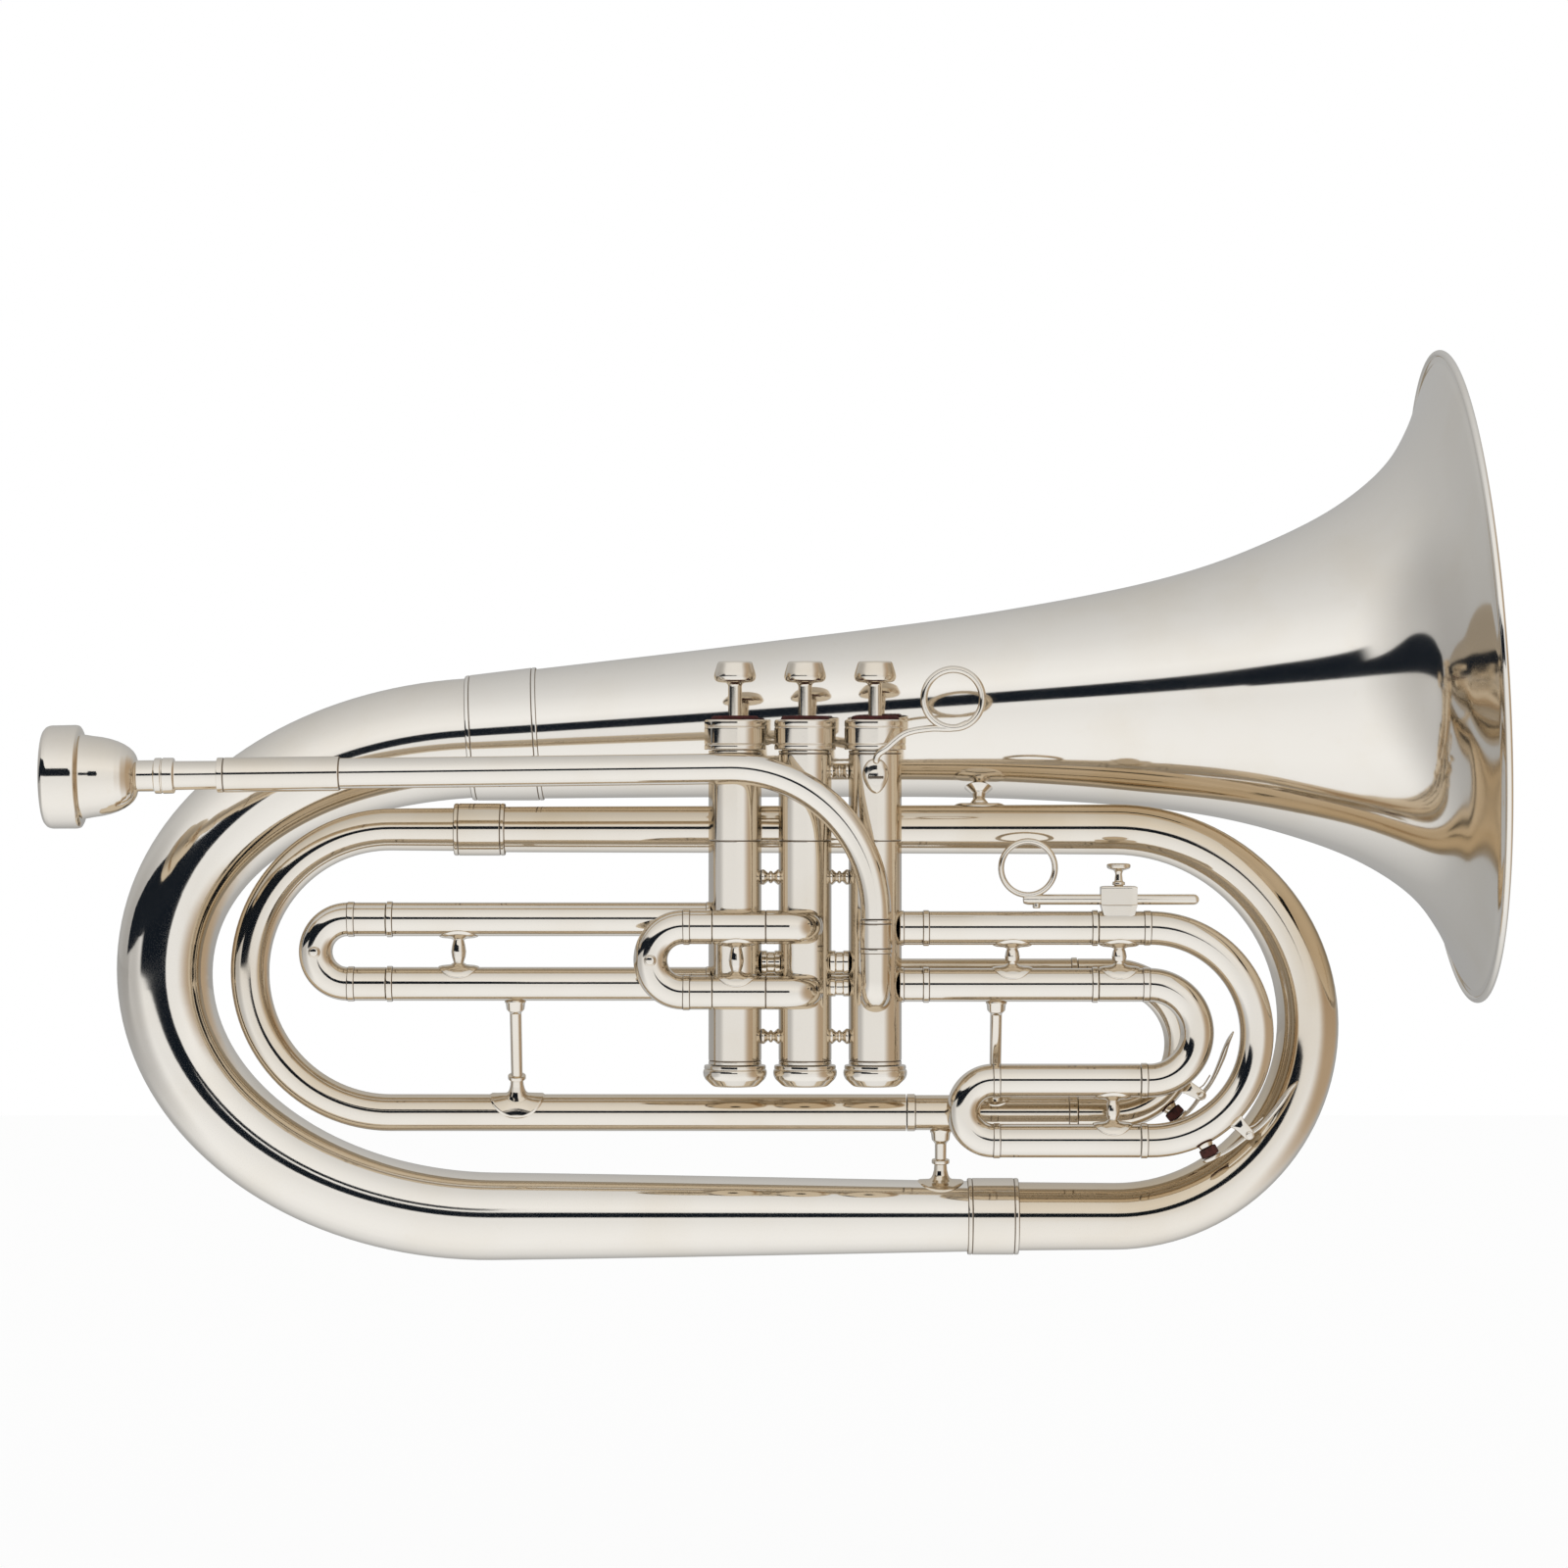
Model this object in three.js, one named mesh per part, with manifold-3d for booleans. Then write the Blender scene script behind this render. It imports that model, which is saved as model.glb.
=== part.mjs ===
// Marching euphonium, a valved brass horn with its bell pointing forward, in millimetres.
// X runs from the mouthpiece to the bell, Y away from the side that faces the viewer, Z up.
// The origin is on the axis of the middle valve, at the middle height of the grip.
import * as THREE from 'three';
import { mergeVertices } from 'three/addons/utils/BufferGeometryUtils.js';
import Module from 'manifold-3d';

const wasm = await Module();
wasm.setup();

// Clearances
const joinGap = 0.3;
const slideGap = 0.3;
const cutOverrun = 2;
const mergeTolerance = 1e-4;
const lengthTolerance = 1e-6;
const leastRingSpacing = 0.4;
const quarterPull = 0.5523;

// Facet counts
const bellSides = 24;
const bowSides = 12;
const tubeSides = 10;
const valveSides = 16;
const capSides = 12;
const mouthpieceSides = 14;
const smallSides = 8;
const wireSides = 6;
const roomSides = 12;
const largeBendSteps = 9;
const bendSteps = 7;
const smallBendSteps = 6;
const elbowSteps = 3;
const springStepsPerCurl = 7;
const springSides = 5;

// Walls of the tubing
const tubeWall = 0.6;
const legWall = 0.5;
const bowWall = 0.7;
const bellWall = 0.6;
const ferruleWall = 0.8;
const collarRise = 0.45;
const collarWidth = 2.4;

// Valve block
const valvePitch = 28.1;
const casingRadius = 10.6;
const casingWall = 1.0;
const casingTop = 61;
const casingBottom = -64.8;
const pistonClearance = 0.3;
const pistonWall = 0.9;
const pistonEndWall = 2;
const pistonBottom = -42;
const pistonVentRadius = 2;
const topCapRadius = 12.3;
const topCapHeight = 12;
const topCapWall = 1.6;
const capRimWidth = 2.3;
const feltRecess = 1.8;
const feltHeight = 3.1;
const feltClearance = 0.3;
const stemRadius = 2.75;
const stemClearance = 0.4;
const stemTop = 88.4;
const buttonRadius = 8.4;
const buttonHeight = 8.3;
const buttonTopRadius = 6.9;
const bottomCapRadius = 12.8;
const bottomCapHeight = 8.6;
const bottomCapWall = 1.5;
const bottomCapFootRadius = 9.3;
const springRadius = 6.2;
const springWireRadius = 0.6;
const springCurls = 5;
const springLeastGap = 0.4;
const highPassageHeight = -24;
const highPassageRadius = 4.3;
const lowPassageHeight = -34;
const lowPassageRadius = 3.2;
const passageWall = 0.6;
const stayHeights = { top: 52.5, middle: 10.2, bottom: -53.6 };
const stayRadius = 3.1;

// Mouthpiece and leadpipe, in front of the valves
const leadpipeY = -17.5;
const leadpipeRadius = 6.1;
const leadpipeHeight = 53.6;
const leadpipeTilt = THREE.MathUtils.degToRad(0.7);
const leadpipeBendRadius = 57.6;
const leadpipeEndHeight = -6;
const elbowHeight = -37.4;
const elbowEndRadius = 5.6;
const leadpipeFerruleLength = 13.3;
const leadpipeFerruleRise = 0.35;
const leadpipeEngagement = 16;
const receiverLeft = -233.5;
const receiverRight = -184.8;
const receiverRadius = 6.95;
const mouthpieceRimX = -302.4;
const mouthpieceRimRadius = 20.6;
const mouthpieceRimLength = 15.6;
const mouthpieceBodyLength = 21.4;
const mouthpieceBodyRadius = 16.3;
const mouthpieceNeckLength = 7;
const mouthpieceNeckRadius = 6.2;
const mouthpieceBandRadius = 7.1;
const mouthpieceBandLength = 7.8;
const mouthpieceCupDepth = 27;
const mouthpieceCupMouthRadius = 12.9;
const mouthpieceThroatRadius = 3.2;
const mouthpieceBackboreRadius = 4.9;
const shankRadius = 5.75;
const shankEngagement = 24;

// Valve slides
const slideTubeRadius = 6.75;
const firstSlideHighZ = -6.7;
const firstSlideLowZ = -32.6;
const firstBowX = -183.3;
const firstReceiverEndX = -167.7;
const secondSlideY = -18;
const secondSlideHighZ = -9.3;
const secondSlideLowZ = -35.3;
const secondBowX = -48.5;
const secondReceiverEndX = -36.8;
const thirdSlideHighZ = -10.2;
const thirdSlideLowZ = -33;
const thirdReturnZ = -71.4;
const thirdBottomZ = -95.5;
const thirdBowX = 138.5;
const thirdInnerBowX = 138;
const thirdReturnBowX = 75.5;
const thirdReceiverEndX = 117.4;
const thirdJointX = 134.6;
const firstLegLength = 105;
const secondLegLength = 22;
const thirdLegLength = 70;
const tuningLegLength = 42;
const thirdRingX = 48.5;
const bowFerruleRise = 0.3;
const bowFerruleWidth = 2.6;
const nippleRadius = 1.9;
const nippleHeight = 1.5;

// Main tuning slide, behind the valves
const tuningY = 18;
const tuningHighZ = -29.9;
const tuningBowX = 124.5;
const tuningReceiverEndX = 110.2;
const tuningLowReceiverX = 41.2;
const tuningLowReceiverRadius = 7.1;
const tuningJointCollarWidth = 3.4;

// Conical branch, from the tuning slide to the bell
const branchY = 22.5;
const innerBowX = -167.6;
const innerBowZ = -28.2;
const innerBowBendRadius = 57.3;
const innerBowStartRadius = 7.45;
const innerBowLeftRadius = 7.8;
const innerBowEndRadius = 8.8;
const topFerruleLeft = -142.2;
const topFerruleRight = -121.5;
const topJointX = -131.5;
const frontBowX = 125.6;
const frontBowZ = -49.4;
const frontBowBendRadius = 78.5;
const frontBowStartRadius = 9.2;
const frontBowTopRadius = 10.2;
const frontBowRightRadius = 12.4;
const frontBowEndRadius = 13.9;
const bottomFerruleLeft = 65.9;
const bottomFerruleRight = 86.6;
const bottomJointX = 76;
const backBowX = -126;
const backBowLeftX = -261.3;
const backBowLeftZ = -28.5;
const backBowLeftY = 34;
const backBowStartRadius = 14.1;
const backBowLowRadius = 17.7;
const backBowLeftRadius = 19.4;

// Bell
const bellTilt = THREE.MathUtils.degToRad(3.55);
const bellFerruleX = -123.3;
const bellCapClearance = 1.8;
const bellPostLength = 8.9;
const bellFerruleLength = 29.3;
const bellLength = 393.3;
const bellRimRadius = 134.3;
const bellBeadRadius = 1.5;
// Distance from the rim and radius, as shares of the bell's length and of its rim radius.
const bellFlareShares = [
  [0, 1], [0.0305, 0.79], [0.06, 0.665], [0.116, 0.542], [0.203, 0.432],
  [0.295, 0.357], [0.475, 0.284], [0.737, 0.231], [1, 0.188],
];
const bellRings = 11;
// The rings, counted from the throat, where the stem, the body and the flare meet
const bellSeamRings = [2, 5];
const bellBeadSteps = 3;

// Posts between the branches
const postRadius = 2.3;
const postCollarRadius = 3.9;
const postCollarHeight = 4.2;
const postFlangeRadius = 5.8;
const postFlangeHeight = 2.2;
const postSaddleLength = 22;
const postSaddleWidth = 12;
const postSaddleWall = 0.8;
const leftPostX = -116.3;
const centrePostX = 55;
const rightPostX = 76.8;
const bellPostX = 71;
const slideBraceRadius = 1.7;
const slideBraceBallRadius = 2.7;
const slideBraceSaucerRadius = 4.8;
const slideBraceSaucerHeight = 1.2;
const firstBraceX = -138.9;
const secondBraceX = -27.4;
const thirdFixedBraceX = 83.1;
const thirdHighBraceX = 126;
const thirdLowBraceX = 123.4;

// Third slide throw: ring, rod, block and thumb screw
const throwRodZ = 1.2;
const throwRodRadius = 2.15;
const throwRodEndX = 158;
const throwBlockLeft = 118.5;
const throwBlockRight = 133;
const throwBlockTop = 6.7;
const throwBlockHalfWidth = 4.6;
const throwRingX = 89.4;
const throwRingZ = 13.8;
const throwRingRadius = 10.8;
const throwRingWireRadius = 1.2;
const throwFootWidth = 3.4;
const throwFootBottom = -2.3;
const screwStemRadius = 1.75;
const screwHeadRadius = 4.8;
const screwHeadBottom = 13;
const screwHeadHeight = 2.7;

// Hook ring on the third valve casing
const hookRingX = 58.9;
const hookRingZ = 81.5;
const hookRingRadius = 11.65;
const hookWireRadius = 1.45;
const hookArmRadius = 1.3;
const hookPlateZ = 51;
const hookPlateHalfHeight = 7.6;
const hookPlateHalfWidth = 5.2;
const hookPlateDepth = 2.2;

// Water keys
const keyPinRadius = 0.8;
const keyHubRadius = 2.1;
const keyHubWidth = 3.4;
const keyPinClearance = 0.3;
const keyEarThickness = 1.3;
const keyEarWidth = 4.4;
const keyHingeRise = 6.8;
const keyLeverThickness = 1.3;
const keyTipLength = 29;
const keyTipDrop = 1.6;
const keySeatTurn = THREE.MathUtils.degToRad(18);
const keyCupRadius = 4.1;
const keyCupHeight = 1.6;
const keyCorkRadius = 3.7;
const keyCorkHeight = 3.4;
const keySeatRadius = 2.7;
const keySeatRise = 1.1;
const keyHoleRadius = 1.2;
const thirdKeyAngle = THREE.MathUtils.degToRad(-45.5);
const tuningKeyAngle = THREE.MathUtils.degToRad(-30);

// Colours
const silver = 0xd9d2c4;
const warmSilver = 0xc9bda6;
const feltRed = 0x5c1512;
const corkBrown = 0x4a2318;
const steel = 0xb8b4aa;

const valveXs = { one: -valvePitch, two: 0, three: valvePitch };
const capRecess = casingTop + joinGap + topCapHeight - feltRecess;
const pistonTop = capRecess - topCapWall - joinGap;
const feltTop = capRecess + joinGap + feltHeight;
const valveStroke = stemTop - feltTop - joinGap;
const leadpipeDropX = valveXs.three;
const hookY = -topCapRadius - joinGap - hookWireRadius * 1.2;
const legRadius = slideTubeRadius - tubeWall - slideGap;
const boreRadius = legRadius - legWall;
const frontBowTopZ = frontBowZ + frontBowBendRadius;
const frontBowBottomZ = frontBowZ - frontBowBendRadius;
const innerBowBottomZ = innerBowZ - innerBowBendRadius;
const tuningBendRadius = (tuningHighZ - innerBowBottomZ) / 2;
const tuningBowZ = (tuningHighZ + innerBowBottomZ) / 2;
const bellAxis = new THREE.Vector3(Math.cos(bellTilt), 0, Math.sin(bellTilt));

const euphonium = new THREE.Group();
euphonium.name = 'marching_euphonium';

function finish(color, roughness, metalness) {
  return new THREE.MeshStandardMaterial({ color, roughness, metalness });
}

function addPiece(name, geometry, material = finish(silver, 0.18, 1), parent = euphonium) {
  const mesh = new THREE.Mesh(geometry, material);
  mesh.name = name;
  parent.add(mesh);
  return mesh;
}

function at(x, y, z) {
  return new THREE.Vector3(x, y, z);
}

const right = at(1, 0, 0);
const left = at(-1, 0, 0);
const back = at(0, 1, 0);
const front = at(0, -1, 0);
const up = at(0, 0, 1);
const down = at(0, 0, -1);

// Booleans on closed meshes
function solidOf(geometry) {
  const bare = geometry.clone();
  bare.deleteAttribute('normal');
  bare.deleteAttribute('uv');
  const merged = mergeVertices(bare, mergeTolerance);
  return new wasm.Manifold(new wasm.Mesh({
    numProp: 3,
    vertProperties: new Float32Array(merged.attributes.position.array),
    triVerts: new Uint32Array(merged.index.array),
  }));
}

function geometryOf(solid) {
  const mesh = solid.getMesh();
  const geometry = new THREE.BufferGeometry();
  geometry.setAttribute('position', new THREE.BufferAttribute(mesh.vertProperties, 3));
  geometry.setIndex(new THREE.BufferAttribute(mesh.triVerts, 1));
  geometry.computeVertexNormals();
  return geometry;
}

function joined(first, ...others) {
  return geometryOf(others.reduce((sum, next) => sum.add(solidOf(next)), solidOf(first)));
}

function cut(body, ...tools) {
  return geometryOf(tools.reduce((rest, tool) => rest.subtract(solidOf(tool)), solidOf(body)));
}

function shared(first, second) {
  return geometryOf(solidOf(first).intersect(solidOf(second)));
}

// A revolve about Z of [radius, height] pairs; a closed ring unless it starts and ends on the axis.
function revolve(profile, sides) {
  const points = profile.map(([radius, height]) => new THREE.Vector2(radius, height));
  const onAxis = points[0].x === 0 && points[points.length - 1].x === 0;
  if (!onAxis) points.push(points[0].clone());
  const geometry = new THREE.LatheGeometry(points, sides);
  geometry.rotateX(Math.PI / 2);
  return outward(geometry);
}

// Merged vertices, with every face turned out when the enclosed volume comes out negative.
function outward(geometry) {
  const bare = geometry.clone();
  bare.deleteAttribute('normal');
  bare.deleteAttribute('uv');
  const merged = mergeVertices(bare, mergeTolerance);
  const place = merged.attributes.position;
  const kept = [];
  let volume = 0;
  for (let i = 0; i < merged.index.count; i += 3) {
    const [a, b, c] = [0, 1, 2].map((k) => merged.index.getX(i + k));
    if (a === b || b === c || c === a) continue;
    const [p, q, r] = [a, b, c].map((k) => new THREE.Vector3().fromBufferAttribute(place, k));
    volume += p.dot(q.cross(r));
    kept.push([a, b, c]);
  }
  merged.setIndex((volume < 0 ? kept.map(([a, b, c]) => [a, c, b]) : kept).flat());
  merged.computeVertexNormals();
  return merged;
}

function rod(from, to, radius, sides = smallSides) {
  const geometry = new THREE.CylinderGeometry(radius, radius, from.distanceTo(to), sides);
  return aligned(geometry, from.clone().add(to).multiplyScalar(0.5), to.clone().sub(from));
}

// Turns a shape made along Y to run along a direction, and moves it to a place.
function aligned(geometry, place, direction) {
  const turn = new THREE.Quaternion().setFromUnitVectors(at(0, 1, 0), direction.clone().normalize());
  geometry.applyQuaternion(turn);
  geometry.translate(place.x, place.y, place.z);
  return geometry;
}

// Paths are lists of curves, each with the number of steps that it is drawn in.
function straight(from, to) {
  return { curve: new THREE.LineCurve3(from, to), steps: 1 };
}

// A part of an ellipse in the XZ plane whose Y drifts smoothly from one depth to another.
class DriftingArc extends THREE.Curve {
  constructor(centre, radiusX, radiusZ, startAngle, endAngle, endY = centre.y) {
    super();
    Object.assign(this, { centre, radiusX, radiusZ, startAngle, endAngle, endY });
  }

  getPoint(t, target = new THREE.Vector3()) {
    const angle = THREE.MathUtils.lerp(this.startAngle, this.endAngle, t);
    const drift = t * t * (3 - 2 * t);
    return target.set(
      this.centre.x + this.radiusX * Math.cos(angle),
      THREE.MathUtils.lerp(this.centre.y, this.endY, drift),
      this.centre.z + this.radiusZ * Math.sin(angle),
    );
  }
}

function bend(centre, radius, startAngle, endAngle, steps, endY = centre.y) {
  return { curve: new DriftingArc(centre, radius, radius, startAngle, endAngle, endY), steps };
}

// A quarter turn from one direction into another, starting at a point.
function quarter(start, into, outOf, radius, steps = elbowSteps) {
  const corner = start.clone().addScaledVector(into, radius);
  const end = corner.clone().addScaledVector(outOf, radius);
  const pull = quarterPull * radius;
  const first = start.clone().addScaledVector(into, pull);
  const second = end.clone().addScaledVector(outOf, -pull);
  return { curve: new THREE.CubicBezierCurve3(start, first, second, end), steps };
}

function pathLength(path) {
  return path.reduce((sum, piece) => sum + piece.curve.getLength(), 0);
}

function stationAt(path, distance) {
  let start = 0;
  for (const piece of path) {
    const length = piece.curve.getLength();
    if (distance <= start + length + lengthTolerance || piece === path[path.length - 1]) {
      const u = THREE.MathUtils.clamp((distance - start) / length, 0, 1);
      return { point: piece.curve.getPointAt(u), along: piece.curve.getTangentAt(u) };
    }
    start += length;
  }
  throw new Error('the path has no curves');
}

function radiusAt(profile, distance) {
  const next = profile.findIndex(([place]) => place >= distance - lengthTolerance);
  if (next <= 0) return profile[Math.max(next, 0)][1];
  const [from, low] = profile[next - 1];
  const [to, high] = profile[next];
  return THREE.MathUtils.mapLinear(distance, from, to, low, high);
}

// Distances along a path where a skin has a ring: every step of its curves and of its profile.
function ringsOf(path, profile) {
  const drawn = [];
  let start = 0;
  for (const { curve, steps } of path) {
    const length = curve.getLength();
    for (let i = 0; i <= steps; i += 1) drawn.push(start + (length * i) / steps);
    start += length;
  }
  const nearest = (place) => Math.min(...profile.map(([own]) => Math.abs(own - place)));
  const rings = drawn
    .filter((place, i) => nearest(place) > leastRingSpacing
      && (i === 0 || place - drawn[i - 1] > lengthTolerance))
    .filter((place) => place > profile[0][0] && place < profile[profile.length - 1][0])
    .map((place) => [place, radiusAt(profile, place)]);
  return [...rings, ...profile].map((ring, order) => ({ ring, order }))
    .sort((a, b) => a.ring[0] - b.ring[0] || a.order - b.order)
    .map(({ ring }) => ring);
}

// A hollow tube carried along a path. Each skin is a list of [distance, radius] pairs, and two
// pairs at one distance make a step. The reference keeps the facets of fitting tubes in line.
function tube(path, outer, inner, sides = tubeSides, reference = back, turn = 0) {
  const points = [];
  const faces = [];
  const addSkin = (profile) => ringsOf(path, profile).map(([distance, radius]) => {
    const { point, along } = stationAt(path, distance);
    const across = reference.clone().addScaledVector(along, -reference.dot(along)).normalize();
    const third = along.clone().cross(across);
    const first = points.length / 3;
    for (let k = 0; k < sides; k += 1) {
      const angle = turn + (2 * Math.PI * k) / sides;
      const spot = point.clone()
        .addScaledVector(across, radius * Math.cos(angle))
        .addScaledVector(third, radius * Math.sin(angle));
      points.push(spot.x, spot.y, spot.z);
    }
    return first;
  });
  const weave = (a, b) => {
    for (let k = 0; k < sides; k += 1) {
      const next = (k + 1) % sides;
      faces.push(a + k, a + next, b + next, a + k, b + next, b + k);
    }
  };
  const fan = (ring) => {
    for (let k = 1; k < sides - 1; k += 1) faces.push(ring, ring + k + 1, ring + k);
  };
  const outside = addSkin(outer);
  const inside = inner ? addSkin(inner).reverse() : [];
  const loop = [...outside, ...inside];
  const last = inner ? loop.length : loop.length - 1;
  for (let i = 0; i < last; i += 1) weave(loop[i], loop[(i + 1) % loop.length]);
  if (!inner) {
    fan(outside[0]);
    const end = outside[outside.length - 1];
    for (let k = 1; k < sides - 1; k += 1) faces.push(end, end + k, end + k + 1);
  }
  const geometry = new THREE.BufferGeometry();
  geometry.setAttribute('position', new THREE.Float32BufferAttribute(points, 3));
  geometry.setIndex(faces);
  return outward(geometry);
}

// A tube with pieces soldered on it, bored through from end to end
function fittedTube(path, outer, bore, fittings, reference = back, turn = 0) {
  const length = pathLength(path);
  const inner = [[0, bore], [length, bore]];
  if (fittings.length === 0) return tube(path, outer, inner, tubeSides, reference, turn);
  const body = joined(tube(path, outer, null, tubeSides, reference, turn), ...fittings);
  return cut(body, tube(path, inner, null, tubeSides, reference, turn));
}

// Even skins from end to end
function evenTube(path, outerRadius, innerRadius) {
  const length = pathLength(path);
  return tube(path, [[0, outerRadius], [length, outerRadius]],
    [[0, innerRadius], [length, innerRadius]]);
}

// A skin with raised collars, each given by its middle
function collared(length, radius, places, width = collarWidth, rise = collarRise) {
  const steps = places.flatMap((place) => {
    const from = Math.max(place - width / 2, 0);
    const to = Math.min(place + width / 2, length);
    const up = from === 0 ? [] : [[from, radius]];
    const down = to === length ? [] : [[to, radius]];
    return [...up, [from, radius + rise], [to, radius + rise], ...down];
  });
  const starts = steps.length > 0 && steps[0][0] === 0 ? [] : [[0, radius]];
  const ends = steps.length > 0 && steps[steps.length - 1][0] === length ? [] : [[length, radius]];
  return [...starts, ...steps, ...ends];
}

// The room that a valve casing takes, for tube ends that are shaped to fit it
function casingRoom(x, sides = valveSides) {
  const room = new THREE.CylinderGeometry(
    casingRadius + joinGap, casingRadius + joinGap, casingTop - casingBottom, sides);
  room.rotateX(Math.PI / 2);
  room.translate(x, 0, (casingTop + casingBottom) / 2);
  return room;
}

// Valves
function stay(from, to, z) {
  const length = to - from;
  const waist = stayRadius * 0.6;
  const profile = [
    [0, 0], [stayRadius, 0], [stayRadius, length * 0.3], [waist, length * 0.55],
    [stayRadius, length * 0.8], [stayRadius, length], [0, length],
  ];
  const geometry = revolve(profile, wireSides);
  geometry.rotateY(Math.PI / 2);
  geometry.translate(from, 0, z);
  return geometry;
}

function drill(x, z, toward, radius, reach = casingRadius + cutOverrun) {
  const from = at(x, 0, z);
  return rod(from, from.clone().addScaledVector(toward, reach), radius);
}

function passageDrills(x, towards) {
  return towards.flatMap((toward) => [
    drill(x, highPassageHeight, toward, highPassageRadius - passageWall),
    drill(x, lowPassageHeight, toward, lowPassageRadius - passageWall),
  ]);
}

const casingPorts = {
  one: [
    drill(valveXs.one, firstSlideHighZ, left, boreRadius),
    drill(valveXs.one, firstSlideLowZ, left, boreRadius),
    drill(valveXs.one, tuningHighZ, back, boreRadius),
    ...passageDrills(valveXs.one, [right]),
  ],
  two: [
    drill(valveXs.two, secondSlideHighZ, front, boreRadius),
    drill(valveXs.two, secondSlideLowZ, front, boreRadius),
    ...passageDrills(valveXs.two, [left, right]),
  ],
  three: [
    drill(valveXs.three, thirdSlideHighZ, right, boreRadius),
    drill(valveXs.three, thirdSlideLowZ, right, boreRadius),
    drill(valveXs.three, elbowHeight, front, elbowEndRadius - tubeWall),
    ...passageDrills(valveXs.three, [left]),
  ],
};

function casing(key) {
  const x = valveXs[key];
  const barrel = revolve([[0, casingBottom], [casingRadius, casingBottom],
    [casingRadius, casingTop], [0, casingTop]], valveSides);
  barrel.translate(x, 0, 0);
  const bore = revolve([
    [0, casingBottom - cutOverrun], [casingRadius - casingWall, casingBottom - cutOverrun],
    [casingRadius - casingWall, casingTop + cutOverrun], [0, casingTop + cutOverrun],
  ], valveSides);
  bore.translate(x, 0, 0);
  if (key !== 'two') return cut(barrel, bore, ...casingPorts[key]);
  // The middle casing carries the passages and the stays that reach its neighbours.
  const links = [];
  for (const side of [-1, 1]) {
    const reach = at(side * (valvePitch - casingRadius), 0, 0);
    for (const [z, radius] of [[highPassageHeight, highPassageRadius],
      [lowPassageHeight, lowPassageRadius]]) {
      links.push(rod(at(0, 0, z), at(reach.x, 0, z), radius));
    }
    for (const z of Object.values(stayHeights)) {
      const start = side * (casingRadius - casingWall);
      links.push(stay(Math.min(start, reach.x), Math.max(start, reach.x), z));
    }
  }
  const block = joined(barrel, ...links);
  return cut(block, casingRoom(valveXs.one), casingRoom(valveXs.three), bore, ...casingPorts.two);
}

const pistonRadius = casingRadius - casingWall - pistonClearance;

function piston(x) {
  const inner = pistonRadius - pistonWall;
  const shell = revolve([
    [pistonVentRadius, pistonBottom], [pistonRadius, pistonBottom],
    [pistonRadius, pistonTop], [pistonVentRadius, pistonTop],
    [pistonVentRadius, pistonTop - pistonEndWall], [inner, pistonTop - pistonEndWall],
    [inner, pistonBottom + pistonEndWall], [pistonVentRadius, pistonBottom + pistonEndWall],
  ], valveSides);
  const ports = [
    [highPassageHeight, highPassageRadius],
    [highPassageHeight + valveStroke, highPassageRadius],
  ];
  const halfLength = pistonRadius - pistonWall / 2;
  const sleeves = ports.map(([z, radius]) => rod(at(-halfLength, 0, z), at(halfLength, 0, z),
    radius, wireSides));
  const bores = ports.map(([z, radius]) => rod(
    at(-casingRadius, 0, z), at(casingRadius, 0, z), radius - passageWall, wireSides));
  const barrel = revolve([[0, pistonBottom], [pistonRadius, pistonBottom],
    [pistonRadius, pistonTop], [0, pistonTop]], valveSides);
  const geometry = cut(shared(joined(shell, ...sleeves), barrel), ...bores);
  geometry.translate(x, 0, 0);
  return geometry;
}

function topCap(x) {
  const base = casingTop + joinGap;
  const top = base + topCapHeight;
  const hole = stemRadius + stemClearance;
  const room = casingRadius - casingWall / 2;
  const geometry = revolve([
    [hole, capRecess], [topCapRadius - capRimWidth, capRecess], [topCapRadius - capRimWidth, top],
    [topCapRadius, top], [topCapRadius, base], [room, base],
    [room, capRecess - topCapWall], [hole, capRecess - topCapWall],
  ], capSides);
  geometry.translate(x, 0, 0);
  return geometry;
}

function felt(x) {
  const seat = capRecess + joinGap;
  const hole = stemRadius + stemClearance;
  const rim = topCapRadius - capRimWidth - feltClearance;
  const geometry = revolve([[hole, seat], [rim, seat], [rim, feltTop], [hole, feltTop]], capSides);
  geometry.translate(x, 0, 0);
  return geometry;
}

function fingerButton(x) {
  const foot = pistonTop + joinGap;
  const top = stemTop + buttonHeight;
  const shoulder = stemTop + buttonHeight * 0.22;
  const geometry = revolve([
    [0, foot], [stemRadius, foot], [stemRadius, stemTop], [buttonRadius * 0.9, stemTop],
    [buttonRadius, shoulder], [buttonRadius * 0.95, stemTop + buttonHeight * 0.55],
    [buttonTopRadius, top - buttonHeight * 0.07], [buttonTopRadius * 0.85, top], [0, top],
  ], capSides);
  geometry.translate(x, 0, 0);
  return geometry;
}

const bottomCapTop = casingBottom - joinGap;
const bottomCapFloor = bottomCapTop - bottomCapHeight + bottomCapWall;

function bottomCap(x) {
  const foot = bottomCapTop - bottomCapHeight;
  const room = casingRadius - casingWall;
  const geometry = revolve([
    [pistonVentRadius, foot], [bottomCapFootRadius, foot],
    [bottomCapRadius * 0.95, foot + bottomCapHeight * 0.42],
    [bottomCapRadius, foot + bottomCapHeight * 0.66],
    [bottomCapRadius * 0.95, bottomCapTop], [room, bottomCapTop],
    [room * 0.8, bottomCapFloor], [pistonVentRadius, bottomCapFloor],
  ], capSides);
  geometry.translate(x, 0, 0);
  return geometry;
}

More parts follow.
